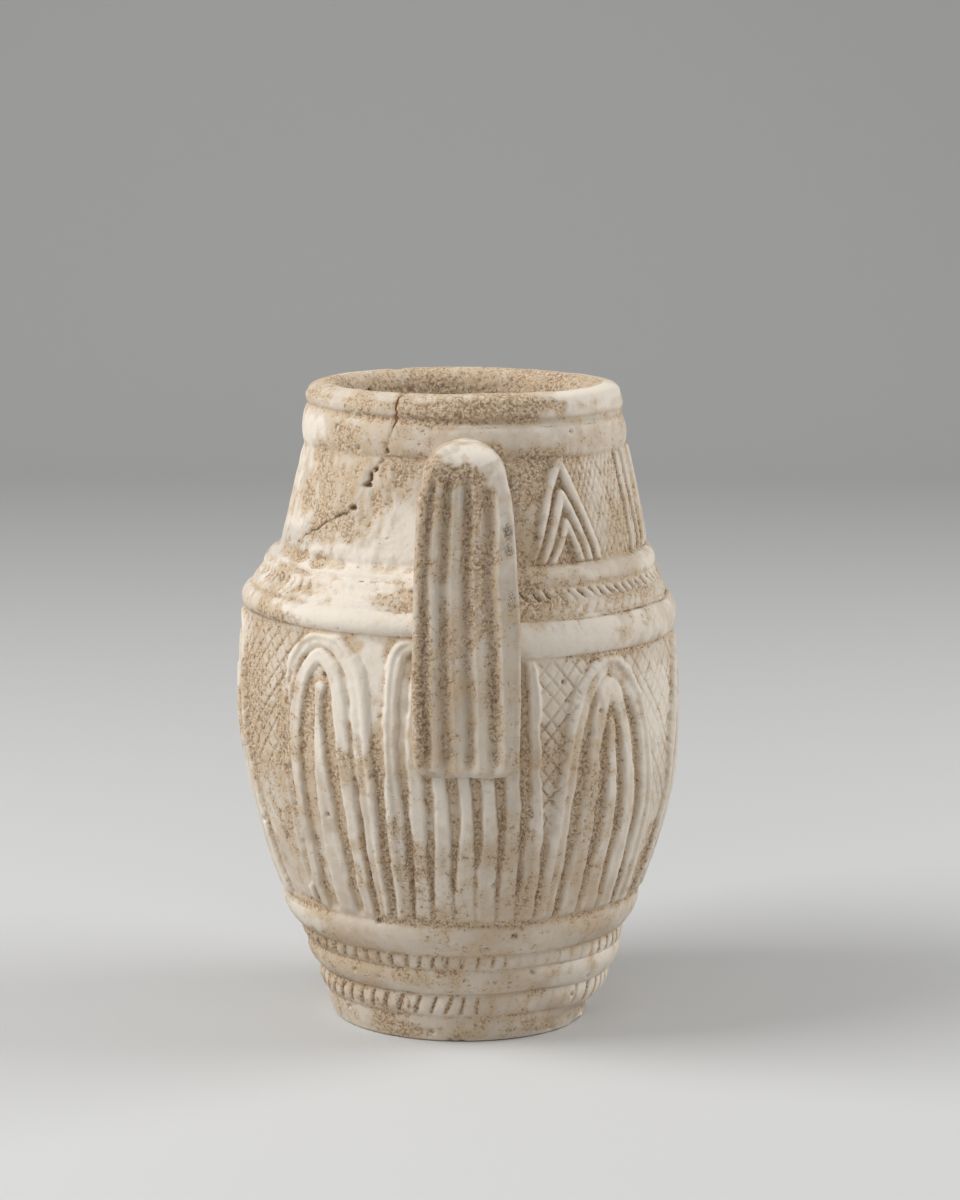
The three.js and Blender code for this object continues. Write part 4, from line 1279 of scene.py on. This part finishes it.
strap_width -= FOOT_CORNER - np.sqrt(FOOT_CORNER ** 2 - under_corner ** 2)
strap_corner = FACE_CORNER + (CROWN_HALF_WIDTHS[0] - FACE_CORNER) * (1 - crown_share) ** 1.5
strap_corner += 1.2 * crown_share * step(strap_face[:, 1], 176, 192)
foot_inset = FOOT_ROUNDING * (1 - np.cos(turn_in[:, 0]))
strap_width[-FOOT_ROWS:] -= foot_inset
strap_face[-FOOT_ROWS:, 0] -= foot_inset


def strap_sections():
    """Closed sections of the strap from its root in the neck to its foot, each between a point of
    the face line and one of the back line. From the middle of the face a section runs straight,
    then round a corner arc, then straight down the side: its length along that way gives the
    distance across and the depth. The back is flat. Returns points, shares of the width and where
    the face is."""
    along = strap_back - strap_face
    thick = np.linalg.norm(along, axis=1, keepdims=True)
    corner, width = strap_corner[:, None], strap_width[:, None]
    flat = width - corner
    arc = np.where(corner <= thick, math.pi / 2, np.arccos(np.clip(1 - thick / corner, -1, 1)))
    side = np.clip(thick - corner, 0, None)
    place = np.linspace(1, -1, FACE_SAMPLES)[None, :]
    way = np.abs(place) * (flat + corner * arc + side)
    angle = np.clip((way - flat) / corner, 0, arc)
    across = np.sign(place) * (np.minimum(way, flat) + corner * np.sin(angle))
    depth = corner * (1 - np.cos(angle)) + np.clip(way - flat - corner * arc, 0, None)
    back = np.linspace(-1, 1, BACK_SAMPLES + 2)[None, 1:-1] * (flat + corner * np.sin(arc))
    across = np.hstack([across, back])
    depth = np.hstack([depth, thick + 0 * back])
    way_in = along / thick
    radius = strap_face[:, :1] + depth * way_in[:, :1]
    height = strap_face[:, 1:] + depth * way_in[:, 1:]
    on_face = step(depth, 0.9 * corner, 0.3 * corner) * (np.arange(across.shape[1]) < FACE_SAMPLES)
    points = np.stack([across, -radius, height], -1)
    soft = sum((3 - abs(shift)) / 9 * np.roll(points, shift, axis=1) for shift in range(-2, 3))
    return soft, (across + width) / (2 * width), on_face


def oval(points, spots, seed):
    """The sum of ragged oval patches on a strap: place across, height, half sizes and amount."""
    total = 0
    ragged = 0.5 * layered_noise(points, 6, seed) + 0.5 * layered_noise(points, 2.2, seed + 1, 2)
    for across, height, half_across, half_height, amount in spots:
        off = np.hypot((points[..., 0] - across) / half_across,
                       (points[..., 2] - height) / half_height)
        total = total + amount * step(off + ragged, 1.25, 0.45)
    return total


def strap(name, facing, stains_and_shade, replaced):
    """One handle, facing forwards (1) or backwards (-1), with its own stains and wear, and a band of
    painted shade under the crown where the flutes begin.
    """
    points, share, on_face = strap_sections()
    points[..., 0] += STRAP_LEAN * step(points[..., 2], 140, 195)
    turned = points * [facing, facing, 1]
    wander = 0.032 * layered_noise(turned, 17, 131, 4)
    wander -= 0.035 * step(np.abs(points[..., 2] - 150), 8, 42)
    flutes = soft_steps(np.clip(share + wander, 0, 1), FLUTE_SHARES, FLUTE_LEVELS)
    flute_top = np.interp(share, FLUTE_TOP_SHARES, FLUTE_TOPS) + 1.3 * noise_at(turned, 4, 157)
    flutes *= on_face * step(points[..., 2], flute_top, flute_top - 3.6) * (
        1 + 0.45 * layered_noise(turned, 10, 133, 2)) * (0.25 + 0.75 * step(points[..., 2], 99, 107))
    # Painted shade under the crown's overhang, where the flutes begin: browner, less rubbed and a
    # little sunk.
    shaded_brow = np.exp(-((points[..., 2] - flute_top - 0.4) / 1.9) ** 2) * step(share, 0.75, 0.6) * on_face
    broad = layered_noise(turned, 30, 135)
    patchy = layered_noise(turned, 11, 137, 4)
    small = layered_noise(turned, 3, 139, 2)
    crust = 0.2 + 0.3 * broad + 0.4 * patchy + 0.25 * small - 0.18 * flutes
    crust += oval(points, stains_and_shade["crust"], 141) + 0.45 * shaded_brow
    rubbed = 0.35 + 0.25 * flutes - 0.3 * broad + oval(points, stains_and_shade["rubbed"], 143) - 0.3 * shaded_brow
    crust -= 0.5 * np.clip(rubbed - 0.5, 0, 1)
    dirt = 0.1 * step(patchy, 0, 0.6) + 0.06 * step(-flutes, 0.8, 1.6)
    dirt += oval(points, stains_and_shade["dirt"], 145)
    flaked = step(crust + 0.2 * small, 0.38, 0.62)
    granular = noise_at(turned, 1.5, 147) + 0.6 * noise_at(turned, 1.0, 149)
    relief = flutes + 0.25 * layered_noise(turned, 32, 151, 2)
    relief += 0.16 * layered_noise(turned, 6, 153, 2)
    relief += (0.04 + 0.14 * flaked) * granular - 0.1 * flaked - 0.35 * shaded_brow
    relief -= 0.8 * step(layered_noise(turned, 5, 155, 2), 0.45, 0.75) * (1 - on_face)
    relief = np.minimum(relief, 0.3)
    points = (points + directions(points) * relief[..., None]) * [facing, facing, 1]
    finish = np.clip(np.stack([crust, dirt, rubbed, 0 * crust], -1), 0, 1)
    add_piece(name, (points, directions(points), finish), round_faces(points), worn_limestone,
              [replaced])


# As above, the dirt and crust colours here also paint shade on the handles.
worn_colours = {
    "Clean": (0.575, 0.50, 0.405, 1), "Grey": (0.49, 0.43, 0.36, 1), "White": (0.69, 0.625, 0.54, 1),
    "Crust and Shade Light": (0.50, 0.375, 0.245, 1), "Crust and Shade Dark": (0.27, 0.165, 0.09, 1),
    "Dirt and Shade": (0.14, 0.10, 0.065, 1), "Filler": (0.52, 0.48, 0.42, 1),
}
worn_limestone = stone_material("worn_limestone", worn_colours, 2300.0, 640.0, 0.95, 0.00035)
# The crust patch at (-3, 196) and the dirt line at (-4, 197.5) are painted shade under the crown; the
# rest are stains and wear.
front_stains_and_shade = {
    "crust": ((-15, 150, 3, 45, 0.42), (-14.5, 118, 4, 22, 0.4), (-8, 190, 5, 8, 0.35),
              (2, 176, 5, 20, 0.28), (9, 128, 3, 26, 0.3), (-1, 202, 2.2, 2.4, 0.5),
              (4, 150, 3, 20, 0.22), (-10.5, 199, 5, 5, 0.5), (-14, 190, 3, 8, 0.4),
              (-3, 196, 9, 4, 0.5), (5, 190, 5, 8, 0.3)),
    "rubbed": ((2, 203, 8, 4, 0.5), (13.5, 165, 3.2, 24, 0.15), (11, 192, 5, 12, 0.3)),
    "dirt": ((13.0, 178.5, 2.0, 3.0, 0.7), (13.2, 172.3, 1.8, 2.4, 0.7), (14.0, 156, 2.2, 7, 0.62),
             (-9, 186, 1.2, 5, 0.35), (9.5, 124, 1.2, 8, 0.5), (14, 120, 1.5, 9, 0.4),
             (8.5, 133, 1.2, 5, 0.5), (2, 150, 1.2, 8, 0.3), (-12.5, 112, 2.5, 9, 0.4),
             (-4, 197.5, 7, 1.6, 0.4)),
}
back_stains = {
    "crust": ((12, 130, 4, 40, 0.35), (-6, 160, 6, 24, 0.3), (3, 188, 8, 8, 0.3)),
    "rubbed": ((0, 203, 14, 6, 0.8), (-13, 150, 3, 50, 0.3)),
    "dirt": ((-4, 120, 1.5, 6, 0.4), (7, 150, 1.2, 5, 0.4)),
}
strap("front_handle", 1, front_stains_and_shade, "handle_front")
strap("back_handle", -1, back_stains, "handle_back")
